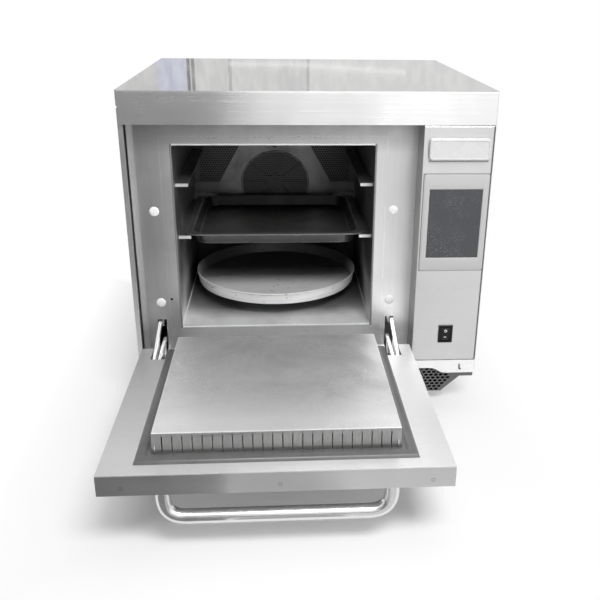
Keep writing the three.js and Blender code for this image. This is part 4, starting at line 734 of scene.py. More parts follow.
def baffle_marks(tree, colour):
    x, y, z = places(tree)
    off = away(tree, x, CAVITY_X)
    inner, level, slant = FIELD_INNER
    slanting = plus(tree, times(tree, minus(tree, level, z), slant), inner)
    side_field = times(tree, maths(tree, "GREATER_THAN", off, slanting), within(tree, z, *FIELD_Z))
    fan_field = remap(tree, from_point(tree, x, z, (CAVITY_X, FAN_Z)), *FAN_FIELD_EDGE)
    colour = toned(tree, colour, larger(tree, side_field, fan_field), 0.17)
    # Darker low beside the fan and towards the wall's sides
    low_dark = times(tree, remap(tree, off, *LOW_DARK_OFF), remap(tree, z, *LOW_DARK_Z))
    colour = toned(tree, colour, larger(tree, low_dark, remap(tree, off, *WALL_SIDE_OFF)), 0.1)
    # Painted shade on the lower wall, below the tray
    return toned(tree, colour, remap(tree, z, *WALL_LOW_SHADE_Z), 0.03)


# %% [markdown]
# The comb round the choke plate has a painted highlight on its front edge, is wiped on top, and has painted
# shade between the teeth and a painted shadow along their foot. The rack rails carry painted shade along
# their length, and their ends are left bright as painted light. The tray's rim is a little worn, its front
# wall is reddish, and its rear corners carry a painted highlight.

# %% Marks on the choke plate, the rails and the tray
TEETH_WIPED_Y = (-0.31, -0.4, 0, 0.55)
TEETH_HIGHLIGHT_Y = (-0.4275, -0.429, 0, 0.9)
TEETH_SHADOW_Z = (0.1485, 0.1465, 0, 0.85)
RAIL_FRONT_Y = (-0.0045, -0.003, 1, 0)
RAIL_REAR_Y = (0.235, 0.262, 0, 0.75)
LOW_RAIL_Z = 0.35
TRAY_RED = (0.4, 0.38, 0.38, 1)
TRAY_FRONT_Y = (0.012, 0.0, 0, 0.7)
TRAY_WALL_Z = (0.3055, 0.3045)
TRAY_FLANGE_Z = (0.3046, 0.3056, 0, 0.6)
TRAY_FLANGE_Y = (0.24, 0.1)
TRAY_BACK_Y = (0.247, 0.255, 0, 0.85)
TRAY_HIGHLIGHT_Y = (0.25, 0.262)
TRAY_HIGHLIGHT_OFF = (0.116, 0.134)
TRAY_HIGHLIGHT_Z = (0.304, 0.3052)


def teeth_shade(tree, colour):
    true_normal = put(tree, "NewGeometry").outputs["True Normal"]
    sideways = maths(tree, "ABSOLUTE", put(tree, "SeparateXYZ", {0: true_normal}).outputs[1])
    x, y, z = places(tree)
    wiped = times(tree, remap(tree, y, *TEETH_WIPED_Y), remap(tree, sideways, 0.6, 0.4))
    colour = toned(tree, colour, wiped, 0.88)
    # A painted highlight along the comb's front edge
    edge = times(tree, remap(tree, y, *TEETH_HIGHLIGHT_Y), remap(tree, sideways, 0.75, 0.6))
    colour = toned(tree, colour, edge, 1)
    # A painted shadow along the foot of the teeth
    colour = toned(tree, colour, remap(tree, z, *TEETH_SHADOW_Z), 0.02)
    # Painted shade on the faces between the teeth
    return toned(tree, colour, remap(tree, sideways, 0.6, 0.9), 0.2, 0.66)


def rail_marks(tree, colour):
    x, y, z = places(tree)
    far_end = times(tree, remap(tree, y, *RAIL_REAR_Y), below(tree, z, LOW_RAIL_Z))
    # The rails are painted dark, and their ends are left bright as painted light
    lit = larger(tree, remap(tree, y, *RAIL_FRONT_Y), far_end)
    return blend_colour(tree, lit, grey(0.15), colour)


def tray_marks(tree, colour):
    x, y, z = places(tree)
    front_wall = times(tree, remap(tree, y, *TRAY_FRONT_Y), remap(tree, z, *TRAY_WALL_Z))
    colour = blend_colour(tree, front_wall, colour, TRAY_RED)
    flange = times(tree, remap(tree, z, *TRAY_FLANGE_Z), remap(tree, y, *TRAY_FLANGE_Y))
    colour = toned(tree, colour, flange, 0.26)
    colour = toned(tree, colour, remap(tree, y, *TRAY_BACK_Y), 0.015)
    off = away(tree, x, CAVITY_X)
    corner = times(tree, remap(tree, y, *TRAY_HIGHLIGHT_Y), remap(tree, off, *TRAY_HIGHLIGHT_OFF))
    # A painted highlight on the rear corners of the rim
    return toned(tree, colour, times(tree, corner, remap(tree, z, *TRAY_HIGHLIGHT_Z)), 0.9)


# In order: the dark and the light tone, the roughness, the scale of the clouds and how metallic it is
choke_steel = worn_plate("choke_steel", 0.36, 0.64, 0.46, 9, 0.45, teeth_shade)
cavity_steel = worn_plate("cavity_steel", 0.6, 0.97, 0.42, 6, 0.3, burn_and_painted_light)
baffle_steel = worn_plate("baffle_steel", 0.2, 0.55, 0.42, 12, 0.6, baffle_marks)
rail_steel = worn_plate("rail_steel", 0.75, 1.0, 0.35, 12, 0.6, rail_marks)
dark_tray_steel = worn_plate("dark_tray_steel", 0.05, 0.17, 0.34, 8, 0.75, tray_marks)

# %% [markdown]
# Polished bars are nearly mirrors. Only faint smudges break their highlight. The edge of the opening is
# polished too, and its two upright sides turn away from the light, so they carry painted shade.

# %% Polished steel
UPRIGHT_SHADE_OFF = (0.1645, 0.1655, 0, 0.9)


def polished(name, tone, roughness, marked=None):
    paint, tree, shader = new_finish(name, roughness, 1.0)
    hands = effect(tree, wiped_smudges, Scale=30)["Smudge"]
    marks = effect(tree, fine_scratches, Scale=60, Width=0.02)["Scratch"]
    colour = blend_colour(tree, times(tree, hands, 0.2), grey(tone), grey(tone * 0.85))
    colour = toned(tree, colour, marks, tone * 0.6, 0.15)
    if marked:
        colour = marked(tree, colour)
    feed(tree, shader, Base_Color=colour,
         Roughness=remap(tree, hands, 0, 1, roughness * 0.9, roughness * 1.3))
    print("finish", name, "tone", tone)
    return paint


def upright_edges(tree, colour):
    x, y, z = places(tree)
    # Painted shade on the two upright sides
    return toned(tree, colour, remap(tree, away(tree, x, CAVITY_X), *UPRIGHT_SHADE_OFF), 0.24)


# In order: tone and roughness
polished_steel = polished("polished_steel", 0.82, 0.2)
bright_rod = polished("bright_rod", 0.98, 0.22)
hinge_steel = polished("hinge_steel", 0.97, 0.3)
wiped_edge_steel = polished("wiped_edge_steel", 1.0, 0.5, upright_edges)

# %% [markdown]
# The pan is spun from an aluminium disc, so its lines are circles. The distance from its middle, put
# through a fine noise, gives rings of any width. Its rear half lies in the shade of the cavity, and it is
# darkened there with painted shade together with burn.

# %% Spun aluminium
RING_SCALE = 900
PAN_BURN_AND_SHADE = (-0.005, 0.05, 0, 0.92)


def spun(name, centre, tone):
    paint, tree, shader = new_finish(name, 0.42, 0.3)
    offset = put(tree, "VectorMath", {0: spot_of(tree), 1: centre}, operation="SUBTRACT").outputs[0]
    flat = stretched(tree, offset, (1, 1, 0))
    radius = put(tree, "VectorMath", {0: flat}, operation="LENGTH").outputs["Value"]
    rings = put(tree, "TexNoise", {"W": times(tree, radius, RING_SCALE), "Scale": 1, "Detail": 3},
                noise_dimensions="1D").outputs[0]
    grime = effect(tree, baked_grease, Scale=14, Specks=90)
    colour = blend_colour(tree, rings, grey(tone * 0.85), grey(tone * 1.08))
    colour = blend_colour(tree, times(tree, grime["Stain"], 0.2), colour, grey(tone * 0.5, 0.03))
    colour = toned(tree, colour, grime["Speck"], 0.05)
    rear = put(tree, "SeparateXYZ", {0: offset}).outputs[1]
    # The rear half darker: painted shade together with burn
    colour = toned(tree, colour, remap(tree, rear, *PAN_BURN_AND_SHADE), 0.06)
    feed(tree, shader, Base_Color=colour, Roughness=remap(tree, grime["Stain"], 0, 1, 0.34, 0.55),
         Normal=bump(tree, rings, 0.2, 0.0003))
    print("finish", name, "tone", tone)
    return paint


# %% [markdown]
# Painted, moulded and rubber pieces have a plain body colour, a fine moulded texture and dust that gathers
# in clouds. One maker serves them all.

# %% Moulded plastic and rubber
def moulded(name, tone, roughness, texture_scale, texture, dust=0.2, dust_tone=0.5, specular=0.5):
    paint, tree, shader = new_finish(name, roughness, Specular_IOR_Level=specular)
    pebbles = noise(tree, spot_of(tree), texture_scale, 2)
    hands = effect(tree, wiped_smudges, Scale=12)["Smudge"]
    worn = effect(tree, worn_edges, Width=0.0008)["Edge"]
    colour = blend_colour(tree, pebbles, grey(tone * 0.93), scaled(grey(tone), 1.05))
    colour = toned(tree, colour, hands, dust_tone, dust * 0.3)
    colour = toned(tree, colour, worn, min(1, tone * 1.5 + 0.03), 0.2)
    feed(tree, shader, Base_Color=colour,
         Roughness=remap(tree, hands, 0, 1, roughness * 0.9, min(1, roughness * 1.25)),
         Normal=bump(tree, pebbles, texture, 0.0002))
    print("finish", name)
    return paint


# In order: tone, roughness, scale and strength of the texture, amount and tone of the dust, and shine
seal_grey = moulded("seal_grey", 0.1, 0.36, 400, 0.2, 0.5, 0.3)
foot_rubber = moulded("foot_rubber", 0.015, 0.8, 700, 0.3, 0.6, 0.2)
badge_grey = moulded("badge_grey", 0.64, 0.25, 1200, 0.03, 0.2, 0.6)
bezel_grey = moulded("bezel_grey", 0.5, 0.32, 1600, 0.08, 0.2, 0.45)
plug_white = moulded("plug_white", 0.9, 0.4, 800, 0.05, 0.2, 0.75)
black_plastic = moulded("black_plastic", 0.006, 0.3, 1000, 0.1, 0.1, 0.2, 0.25)
rib_grey = moulded("rib_grey", 0.1, 0.4, 900, 0.05)
mark_white = moulded("mark_white", 0.85, 0.4, 900, 0.05)

# %% [markdown]
# The screen is a switched-off touch panel: smooth dark glass with dust that has settled in fine dots.

# %% The screen's glass
GLASS_TONES = ((0.036, 0.038, 0.044, 1), (0.048, 0.05, 0.056, 1))
screen_glass, tree, shader = new_finish("screen_glass", 0.16, Coat_Weight=0.4, Coat_Roughness=0.08)
spot = spot_of(tree)
dots = put(tree, "TexVoronoi", {"Vector": spot, "Scale": 420}).outputs["Distance"]
dust_and_painted_shade = noise(tree, spot, 30, 3)
dust = times(tree, remap(tree, dots, 0.3, 0.12), remap(tree, dust_and_painted_shade, 0.4, 0.65))
haze = blend_colour(tree, dust_and_painted_shade, *GLASS_TONES)
feed(tree, shader, Base_Color=toned(tree, haze, dust, 0.4, 0.5),
     Roughness=remap(tree, dust_and_painted_shade, 0, 1, 0.12, 0.3))
print("finish screen_glass")

# %% [markdown]
# The works behind the panels show only through slots, but each has the finish of its kind: zinc spangle,
# laminated iron, wool, printed board, mica and a heater sheath. Spangle and print are cells of flat colour,
# which a Voronoi pattern gives, and the others are clouded, which noise gives.

# %% Finishes of the works
def speckled(name, dark, light, scale, roughness, metallic=0.0, celled=False, strength=0.3):
    paint, tree, shader = new_finish(name, roughness, metallic)
    if celled:
        cells = put(tree, "TexVoronoi", {"Vector": spot_of(tree), "Scale": scale})
        value = put(tree, "RGBToBW", {0: cells.outputs["Color"]}).outputs[0]
    else:
        value = put(tree, "TexNoise", {"Vector": spot_of(tree), "Scale": scale}).outputs[0]
    grime = effect(tree, wiped_smudges)["Smudge"]
    colour = blend_colour(tree, value, dark, light)
    colour = blend_colour(tree, times(tree, grime, 0.25), colour, scaled(dark, 0.6))
    feed(tree, shader, Base_Color=colour,
         Roughness=remap(tree, value, 0, 1, roughness * 0.8, min(1, roughness * 1.2)),
         Normal=bump(tree, value, strength, 0.0006))
    print("finish", name)
    return paint


# In order: two tones, the scale of the pattern, the roughness and how metallic it is
galvanised = speckled("galvanised", grey(0.3), grey(0.5), 70, 0.45, 1.0, celled=True, strength=0.05)
cast_aluminium = speckled("cast_aluminium", grey(0.45), grey(0.6), 400, 0.45, 1.0)
laminated_iron = speckled("laminated_iron", (0.12, 0.08, 0.06, 1), (0.3, 0.2, 0.14, 1), 500, 0.5, 0.7)
heater_sheath = speckled("heater_sheath", grey(0.05), grey(0.14), 300, 0.5, 0.9)
mineral_wool = speckled("mineral_wool", (0.45, 0.4, 0.28, 1), (0.75, 0.7, 0.55, 1), 240, 0.95, strength=1.0)
printed_board = speckled("printed_board", (0.01, 0.06, 0.03, 1), (0.03, 0.16, 0.07, 1), 350, 0.45,
                         celled=True)
mica = speckled("mica", (0.3, 0.27, 0.2, 1), (0.55, 0.5, 0.42, 1), 120, 0.6)

# %% [markdown]
# ## Dress the solids
# A solid keeps its shape here. Two modifiers help it: Decimate joins the many triangles of a flat face, and
# Bevel then rounds the folds by a fraction of a millimetre, so that every edge catches a line of light. The
# solids that aren't in the list are left for the finer pieces, which take their places further on.


# %% Soften and paint
FLAT_ANGLE = 1
FOLD_ANGLE = 50
FOLD_STEPS = 2


def soften(solid, width):
    join = solid.modifiers.new("flat_faces", "DECIMATE")
    join.decimate_type = "DISSOLVE"
    join.angle_limit = math.radians(FLAT_ANGLE)
    fold = solid.modifiers.new("folds", "BEVEL")
    fold.width = width
    fold.segments = FOLD_STEPS
    fold.limit_method = "ANGLE"
    fold.angle_limit = math.radians(FOLD_ANGLE)
    fold.use_clamp_overlap = True
    fold.miter_outer = "MITER_ARC"
    weight = solid.modifiers.new("face_weight", "WEIGHTED_NORMAL")
    weight.keep_sharp = False


def paint_solid(name, finish, width):
    solid = nodes[name]
    solid.data.materials.clear()
    solid.data.materials.append(finish)
    if width:
        solid.data.shade_smooth()
        soften(solid, width)


# A finish, the width of its rounded folds in millimetres, and the solids that get it
DRESS = [
    (cover_steel, 1.5, ["top_cover"]),
    (side_steel, 0.5, ["left_side_panel", "right_side_panel", "rear_panel"]),
    (plate_steel, 0.4, ["front_plate"]),
    (panel_steel, 0.3, ["control_panel"]),
    (trim_steel, 0.25, ["bottom_trim"]),
    (galvanised, 0.4, ["chassis_floor", "base_tray", "convection_motor", "stirrer_motor", "magnetron"]),
    (door_skin_steel, 0.8, ["door_outer_skin"]),
    (door_frame_steel, 0.5, ["door_inner_frame"]),
    (choke_steel, 0.3, ["choke_plug"]),
    (cavity_steel, 0.6, ["cavity_liner"]),
    (rail_steel, 1.2, ["rail_upper_left", "rail_upper_right", "rail_lower_left", "rail_lower_right"]),
    (hinge_steel, 0.5, ["hinge_arm_left", "hinge_arm_right"]),
    (polished_steel, 0.4, ["hinge_bracket_left", "hinge_bracket_right", "door_spring_left",
                           "door_spring_right", "temperature_probe"]),
    (polished_steel, 0.0, ["catalytic_converter", "exhaust_duct"]),
    (heater_sheath, 0.0, ["heating_element", "convection_fan"]),
    (cast_aluminium, 0.0, ["waveguide", "mode_stirrer", "capacitor"]),
    (laminated_iron, 0.5, ["transformer"]),
    (mineral_wool, 0.0, ["cavity_insulation", "door_insulation"]),
    (printed_board, 0.0, ["control_board"]),
    (mica, 0.0, ["stirrer_cover"]),
    (black_plastic, 0.3, ["door_switch", "switch_bezel", "cooling_fan_frame", "cooling_fan_rotor",
                          "cable_gland"]),
    (screen_glass, 0.2, ["touch_screen"]),
]
for finish, width, names in DRESS:
    for name in names:
        paint_solid(name, finish, width * MM)
dressed = {name for _, _, names in DRESS for name in names}
print("solids dressed:", len(dressed), "left for finer pieces:", sorted(set(nodes) - dressed))

# %% [markdown]
# ## Finer pieces
# Tubes, rims, rubber bands and drilled sheets have shapes that the plain solids only hint at. Each one
# below is made from rings of points that are skinned together, takes the place of its solid, and rides on
# the same body.


# %% Make a piece from points and faces
SAME_POINT = 0.002


def new_piece(name, points, faces, finish, body, slot, replaced=(), sharp=35):
    mesh = bpy.data.meshes.new(name)
    mesh.from_pydata([tuple(v * MM for v in point) for point in points], [], faces)
    work = bmesh.new()
    work.from_mesh(mesh)
    bmesh.ops.remove_doubles(work, verts=work.verts, dist=SAME_POINT * MM)
    bmesh.ops.recalc_face_normals(work, faces=work.faces)
    work.to_mesh(mesh)
    work.free()
    mesh.shade_smooth()
    mesh.set_sharp_from_angle(angle=math.radians(sharp))
    mesh.materials.append(finish)
    piece = bpy.data.objects.new(name, mesh)
    scene.collection.objects.link(piece)
    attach(piece, body)
    if replaced:
        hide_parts(*replaced)
    print("piece", name, "with", len(mesh.polygons), "faces")


# %% [markdown]
# A skin joins each ring of points to the next. It ends in two flat caps, or closes on itself like a tyre.


# %% Skins over rings
def skin(rings, closed=False):
    """Points and faces of a skin over rings that all have as many points."""
    count = len(rings[0])
    points = [point for ring in rings for point in ring]
    pairs = list(zip(range(len(rings)), range(1, len(rings))))
    if closed:
        pairs.append((len(rings) - 1, 0))
    faces = []
    for a, b in pairs:
        for i in range(count):
            j = (i + 1) % count
            faces.append((a * count + i, a * count + j, b * count + j, b * count + i))
    if not closed:
        faces.append(tuple(range(count)))
        faces.append(tuple((len(rings) - 1) * count + i for i in range(count)))
    return points, faces


def joined(skins):
    """Points and faces of several skins as one mesh."""
    points, faces = [], []
    for some_points, some_faces in skins:
        faces += [tuple(i + len(points) for i in face) for face in some_faces]
        points += some_points
    return points, faces


# %% [markdown]
# The rings themselves come from four formulas: a rectangle with round corners, a turned profile, a bar that
# follows a route, and a smooth bend.


# %% Rings and routes
# A point on the axis is a tiny ring, so that every ring has as many points
AXIS_RADIUS = 0.01
BEND_STEPS = 8


def rounded_rectangle(a, b, corner, steps):
    """Points round a rectangle from a[0] to a[1] and b[0] to b[1] with round corners."""
    loop = []
    for ca, cb, start in ((a[1], b[0], -90), (a[1], b[1], 0), (a[0], b[1], 90), (a[0], b[0], 180)):
        ma = ca - corner if ca == a[1] else ca + corner
        mb = cb - corner if cb == b[1] else cb + corner
        for i in range(steps + 1):
            angle = math.radians(start + 90 * i / steps)
            loop.append((ma + corner * math.cos(angle), mb + corner * math.sin(angle)))
    return loop


def lathe(profile, centre, axis, segments):
    """Rings of a turned shape. The profile holds pairs of radius and place along the axis."""
    rings = []
    for radius, along in profile:
        ring = []
        reach = max(radius, AXIS_RADIUS)
        for i in range(segments):
            angle = 2 * math.pi * i / segments
            a, b = reach * math.cos(angle), reach * math.sin(angle)
            offset = {"X": (along, a, b), "Y": (a, along, b), "Z": (a, b, along)}[axis]
            ring.append(tuple(c + o for c, o in zip(centre, offset)))
        rings.append(ring)
    return rings


def tube(route, radius, sides, closed=False):
    """Rings of a round bar along a route. The radius is one number or one for each point."""
    path = [Vector(point) for point in route]
    radii = radius if isinstance(radius, (list, tuple)) else [radius] * len(path)
    rings, across = [], None
    for i, point in enumerate(path):
        before = path[i - 1] if i or closed else point
        after = path[(i + 1) % len(path)] if i + 1 < len(path) or closed else point
        along = (after - before).normalized()
        if across is None:
            across = along.orthogonal().normalized()
        across = (across - along * across.dot(along)).normalized()
        third = along.cross(across)
        ring = []
        for k in range(sides):
            angle = 2 * math.pi * k / sides
            ring.append(tuple(point + radii[i] * (math.cos(angle) * across + math.sin(angle) * third)))
        rings.append(ring)
    return rings


def arc(start, corner, end):
    """Points on a smooth bend from start to end that heads for the corner."""
    a, b, c = Vector(start), Vector(corner), Vector(end)
    shares = [i / BEND_STEPS for i in range(BEND_STEPS + 1)]
    return [tuple(a * (1 - t) ** 2 + b * 2 * t * (1 - t) + c * t * t) for t in shares]


# %% [markdown]
# The door turns about a pin, so its own pieces are easiest to draw in its own directions: across, out of
# its inner face, and up from the pin. One function turns these into places in the room.

# %% Places on the open door
HINGE = (-72.74, 100.6)
OPEN = math.radians(88.8)
DOOR_MIDDLE = -56.5
DOOR_HEIGHT = 401.8


def on_door(x, out, up):
    y = HINGE[0] + out * math.cos(OPEN) - up * math.sin(OPEN)
    z = HINGE[1] + out * math.sin(OPEN) + up * math.cos(OPEN)
    return (x, y, z)


print("the door's upper edge is at", [round(v, 1) for v in on_door(DOOR_MIDDLE, 0, DOOR_HEIGHT)])

# %% [markdown]
# The handle is one steel tube, bent twice and polished, with a small flange where each leg meets the skin.

# %% The handle
HANDLE_LEGS = (-206.5, 93.5)
HANDLE_UP = 378.8
HANDLE_OUT = -50.8
HANDLE_BEND = 30
HANDLE_RADIUS = 10
FLANGE_RADIUS = 13
FLANGE_OUTS = (-1.1, -2.6)
LEG_OUTS = (-2.7, -5)


def handle_route():
    left, right_leg = HANDLE_LEGS
    bend_out = HANDLE_OUT + HANDLE_BEND
    route = [(left, w) for w in (*FLANGE_OUTS, *LEG_OUTS, bend_out + 1)]
    bend = arc((left, bend_out, 0), (left, HANDLE_OUT, 0), (left + HANDLE_BEND, HANDLE_OUT, 0))
    route += [point[:2] for point in bend]
    middle = (left + right_leg) / 2
    mirror = [(2 * middle - x, w) for x, w in reversed(route)]
    return [on_door(x, w, HANDLE_UP) for x, w in route + mirror]


route = handle_route()
flange = [FLANGE_RADIUS] * len(FLANGE_OUTS)
handle_radii = flange + [HANDLE_RADIUS] * (len(route) - 2 * len(flange)) + flange
new_piece("pull_handle", *skin(tube(route, handle_radii, sides=28)), polished_steel, "door",
          "polished_steel", replaced=["door_handle"])

# %% [markdown]
# The baking tray is pressed from dark sheet. Its rim is folded flat and ends in a small round bead, and its
# corners are wide, so that a cloth reaches into them.

# %% The tray
TRAY_MIDDLE = (-56.5, 136)
TRAY_HALF = (157.4, 144.5)
TRAY_TOP = 306.9
TRAY_SECTION = [
    # inset from the outer edge, corner radius, drop from the top
    (22.5, 20, 21.3), (20.5, 22, 20.7), (19.3, 24, 18.6), (14.2, 25, 3.2), (13.5, 25.5, 1.6),
    (12.4, 26, 0.75), (4.2, 24, 0.7), (2.6, 24, 0.35), (1.6, 24, 0.05), (0.7, 24, 0.25), (0.1, 24, 0.9),
    (0.05, 24, 1.6), (0.5, 24, 2.3), (1.5, 24, 2.55), (2.6, 24, 2.3), (3.4, 24, 1.9), (12.7, 26, 1.9),
    (13.2, 26, 2.6), (18.1, 24, 19.0), (19.0, 23, 21.6), (20.6, 21, 22.4), (22.5, 20, 22.5)]


def tray_ring(inset, corner, drop):
    loop = rounded_rectangle((-TRAY_HALF[0] + inset, TRAY_HALF[0] - inset),
                             (-TRAY_HALF[1] + inset, TRAY_HALF[1] - inset), corner, 8)
    return [(TRAY_MIDDLE[0] + x, TRAY_MIDDLE[1] + y, TRAY_TOP - drop) for x, y in loop]


new_piece("pressed_tray", *skin([tray_ring(*row) for row in TRAY_SECTION]), dark_tray_steel, "tray",
          "dark_tray_steel", replaced=["baking_tray"])

# %% [markdown]
# The pan is spun over a form on a lathe. That leaves a rolled bead, a shallow groove under it, a slightly
# bulged side and fine rings over the floor.

# %% The pan
PAN_MIDDLE = (-56.5, 147.5, 0)
PAN_TOP = 194.4
PAN_PROFILE = [
    # radius, height over the rim
    (0, -20.4), (60, -20.4), (120, -20.4), (144.6, -20.4), (146.4, -19.6), (147.1, -17.8), (150.3, -4.2),
    (150.8, -1.6), (151.7, -0.3), (152.8, 0), (153.7, -0.5), (154, -1.5), (153.7, -2.6), (152.9, -3.2),
    (152, -3.8), (151.7, -5.2), (152.2, -7), (152, -9.5), (149.9, -19.6), (149.1, -21.2), (147.6, -21.9),
    (145, -22), (60, -22), (0, -22)]
pan_finish = spun("spun_aluminium", [v * MM for v in PAN_MIDDLE], 0.98)
pan_rings = lathe([(r, PAN_TOP + z) for r, z in PAN_PROFILE], PAN_MIDDLE, "Z", segments=128)
new_piece("spun_pan", *skin(pan_rings), pan_finish, "pan", "aluminium", replaced=["pizza_pan"])

# %% [markdown]
# The pan sits on a wire ring on four feet, well inside its edge, where it can't be seen from the door.

# %% The pan's stand
STAND_RADIUS = 74
STAND_TOP = 172.1
STAND_FOOT = 146.3
WIRE_RADIUS = 2.5
FOOT_TURNS = (45, 135, 225, 315)
STAND_LEG = [(2.6, STAND_FOOT), (3.6, STAND_FOOT + 0.6), (4, STAND_FOOT + 2), (4, STAND_FOOT + 5),
             (2.4, STAND_FOOT + 7), (2.2, STAND_TOP - 2.6)]


def on_stand(degrees, z):
    turn = math.radians(degrees)
    return (PAN_MIDDLE[0] + STAND_RADIUS * math.cos(turn), PAN_MIDDLE[1] + STAND_RADIUS * math.sin(turn), z)


wire_ring = [on_stand(degrees, STAND_TOP - WIRE_RADIUS) for degrees in range(0, 360, 6)]
stand_skins = [skin(tube(wire_ring, WIRE_RADIUS, sides=14, closed=True), closed=True)]
stand_skins += [skin(lathe(STAND_LEG, on_stand(degrees, 0), "Z", segments=18)) for degrees in FOOT_TURNS]
new_piece("wire_stand", *joined(stand_skins), bright_rod, "cabinet", "polished_steel",
          replaced=["pan_stand"])

# %% [markdown]
# The door seal is a moulded silicone band. Its corners are cut at 45 degrees and bonded, and a soft lip
# runs along the middle of the band, so the section is swept round a rectangle with four square corners.

# %% The seal
SEAL_INNER = (163, 47.9, 360.2)
SEAL_WIDTH = (22.2, 18.7)
SEAL_SECTION = [
    # share of the band's width, height over the door's inner face
    (0, 29.5), (0, 33.6), (0.05, 34.7), (0.13, 35.1), (0.22, 34.6), (0.29, 34.7), (0.38, 36.1), (0.5, 36.6),
    (0.62, 36.2), (0.72, 35.0), (0.8, 34.3), (0.9, 32.4), (0.97, 30.4), (1, 29.5)]


def seal_ring(share, out):
    half = SEAL_INNER[0] + SEAL_WIDTH[0] * share
    low, high = SEAL_INNER[1] - SEAL_WIDTH[1] * share, SEAL_INNER[2] + SEAL_WIDTH[1] * share
    corners = ((-half, low), (half, low), (half, high), (-half, high))
    return [on_door(DOOR_MIDDLE + x, out, up) for x, up in corners]


new_piece("moulded_seal", *skin([seal_ring(*row) for row in SEAL_SECTION], closed=True), seal_grey, "door",
          "door_seal", replaced=["door_gasket"], sharp=40)

# %% [markdown]
# ## The control panel
# The badge plate is a bare, shallow pillow with a thin raised border, and the bezel round the display
# slopes down to the glass. Both are rings of a rounded rectangle at different depths.


# %% The badge plate and the bezel
def front_ring(x, z, corner, y, steps=8):
    return [(a, y, b) for a, b in rounded_rectangle(x, z, corner, steps)]


def inset_box(box, inset):
    return (box[0][0] + inset, box[0][1] - inset), (box[1][0] + inset, box[1][1] - inset)


def ring_rows(box, rows):
    return [front_ring(*inset_box(box, inset), corner, y) for inset, corner, y in rows]


# Each row has its inset, its corner radius and its depth
BADGE = ((187, 286), (451, 485.5))
BADGE_ROWS = [(0, 6, -85.8), (0, 6, -91), (0.5, 5.6, -92.6), (1.4, 5, -93.5), (2.6, 4.4, -93.8),
              (3.6, 4, -93.6), (4.2, 3.6, -92.9), (5.4, 3, -92.8)]
BEZEL = ((182.5, 289.5), (265, 428))
BEZEL_ROWS = [(0.2, 3.8, -85.85), (0, 4, -86.6), (0.3, 3.8, -87.1), (1, 3.4, -87.4)]
WINDOW = ((192.7, 279.7), (287.5, 403.3))
WINDOW_ROWS = [(-1.6, 1.6, -87.4), (-0.7, 1, -87.2), (0, 0.4, -86.5), (0, 0.4, -85.85)]
new_piece("bare_badge", *skin(ring_rows(BADGE, BADGE_ROWS)), badge_grey, "cabinet", "grey_plastic",
          replaced=["badge_plate"])
bezel_rings = ring_rows(BEZEL, BEZEL_ROWS) + ring_rows(WINDOW, WINDOW_ROWS)
new_piece("sloped_bezel", *skin(bezel_rings, closed=True), bezel_grey, "cabinet", "grey_plastic",
          replaced=["display_bezel"])

# %% [markdown]
# The mains rocker is a glossy black paddle that is hollowed a little for the finger, with a ring for off
# above a bar for on, both filled with white paint.

# %% The rocker
ROCKER_MIDDLE = (235.6, 147.3)
ROCKER_HALF = 8.9
ROCKER_BACK = -80.5
ROCKER_TAPER = 0.35
ROCKER_ROUNDING = ((0, 0.5), (0.15, 0.12), (0.5, 0))
ROCKER_FACE = [
    # height over the middle, depth
    (-12.1, -86.0), (-11.2, -86.25), (-7, -86.5), (-2, -86.75), (0, -87.0), (2, -87.4), (7, -88.3),
    (11.2, -88.95), (12.1, -89.0)]


def rocker_face_y(z):
    for (z0, y0), (z1, y1) in zip(ROCKER_FACE, ROCKER_FACE[1:]):
        if z0 <= z <= z1:
            return y0 + (y1 - y0) * (z - z0) / (z1 - z0)


def on_rocker(x, z, lift):
    return (ROCKER_MIDDLE[0] + x, rocker_face_y(z) + lift, ROCKER_MIDDLE[1] + z)


rocker_rings = []
for z, y in ROCKER_FACE:
    back = ROCKER_BACK - ROCKER_TAPER * abs(z)
    rounding = [(inset - ROCKER_HALF, y + depth) for inset, depth in ROCKER_ROUNDING]
    left_side = [(-ROCKER_HALF, back)] + rounding
    right_side = [(-x, depth) for x, depth in reversed(left_side)]
    rocker_rings.append([(ROCKER_MIDDLE[0] + x, depth, ROCKER_MIDDLE[1] + z)
                         for x, depth in left_side + right_side])
new_piece("rocker_paddle", *skin(rocker_rings), black_plastic, "rocker", "black_plastic",
          replaced=["rocker_switch"], sharp=25)

# %% [markdown]
# The marks and two thin moulded ribs are round bars that lie half sunk along the paddle's face.

# %% The rocker's marks and ribs
MARK_Z = 6
MARK_RADIUS = 0.7
OFF_RADIUS = 2
MARK_LIFT = -0.02
BAR_ROUTE = (-2.3, -1.9, 1.9, 2.3)
BAR_RADII = [0.4, MARK_RADIUS, MARK_RADIUS, 0.4]
RIB_ROUTE = (-6, -5.8, 5.8, 6)
RIB_RADII = [0.1, 0.3, 0.3, 0.1]
RIB_Z = 10.2
RIB_LIFT = 0.02
turns = [math.radians(degrees) for degrees in range(0, 360, 15)]
off_ring = [on_rocker(OFF_RADIUS * math.cos(turn), MARK_Z + OFF_RADIUS * math.sin(turn), MARK_LIFT)
            for turn in turns]
new_piece("rocker_off_mark", *skin(tube(off_ring, MARK_RADIUS, sides=8, closed=True), closed=True),
          mark_white, "rocker", "grey_plastic")
on_bar = [on_rocker(x, -MARK_Z, MARK_LIFT) for x in BAR_ROUTE]
new_piece("rocker_on_mark", *skin(tube(on_bar, BAR_RADII, sides=8)), mark_white, "rocker", "grey_plastic")
for level, z in (("upper", RIB_Z), ("lower", -RIB_Z)):
    rib = [on_rocker(x, z, RIB_LIFT) for x in RIB_ROUTE]
    new_piece(f"rocker_rib_{level}", *skin(tube(rib, RIB_RADII, sides=8)), rib_grey, "rocker",
              "grey_plastic")

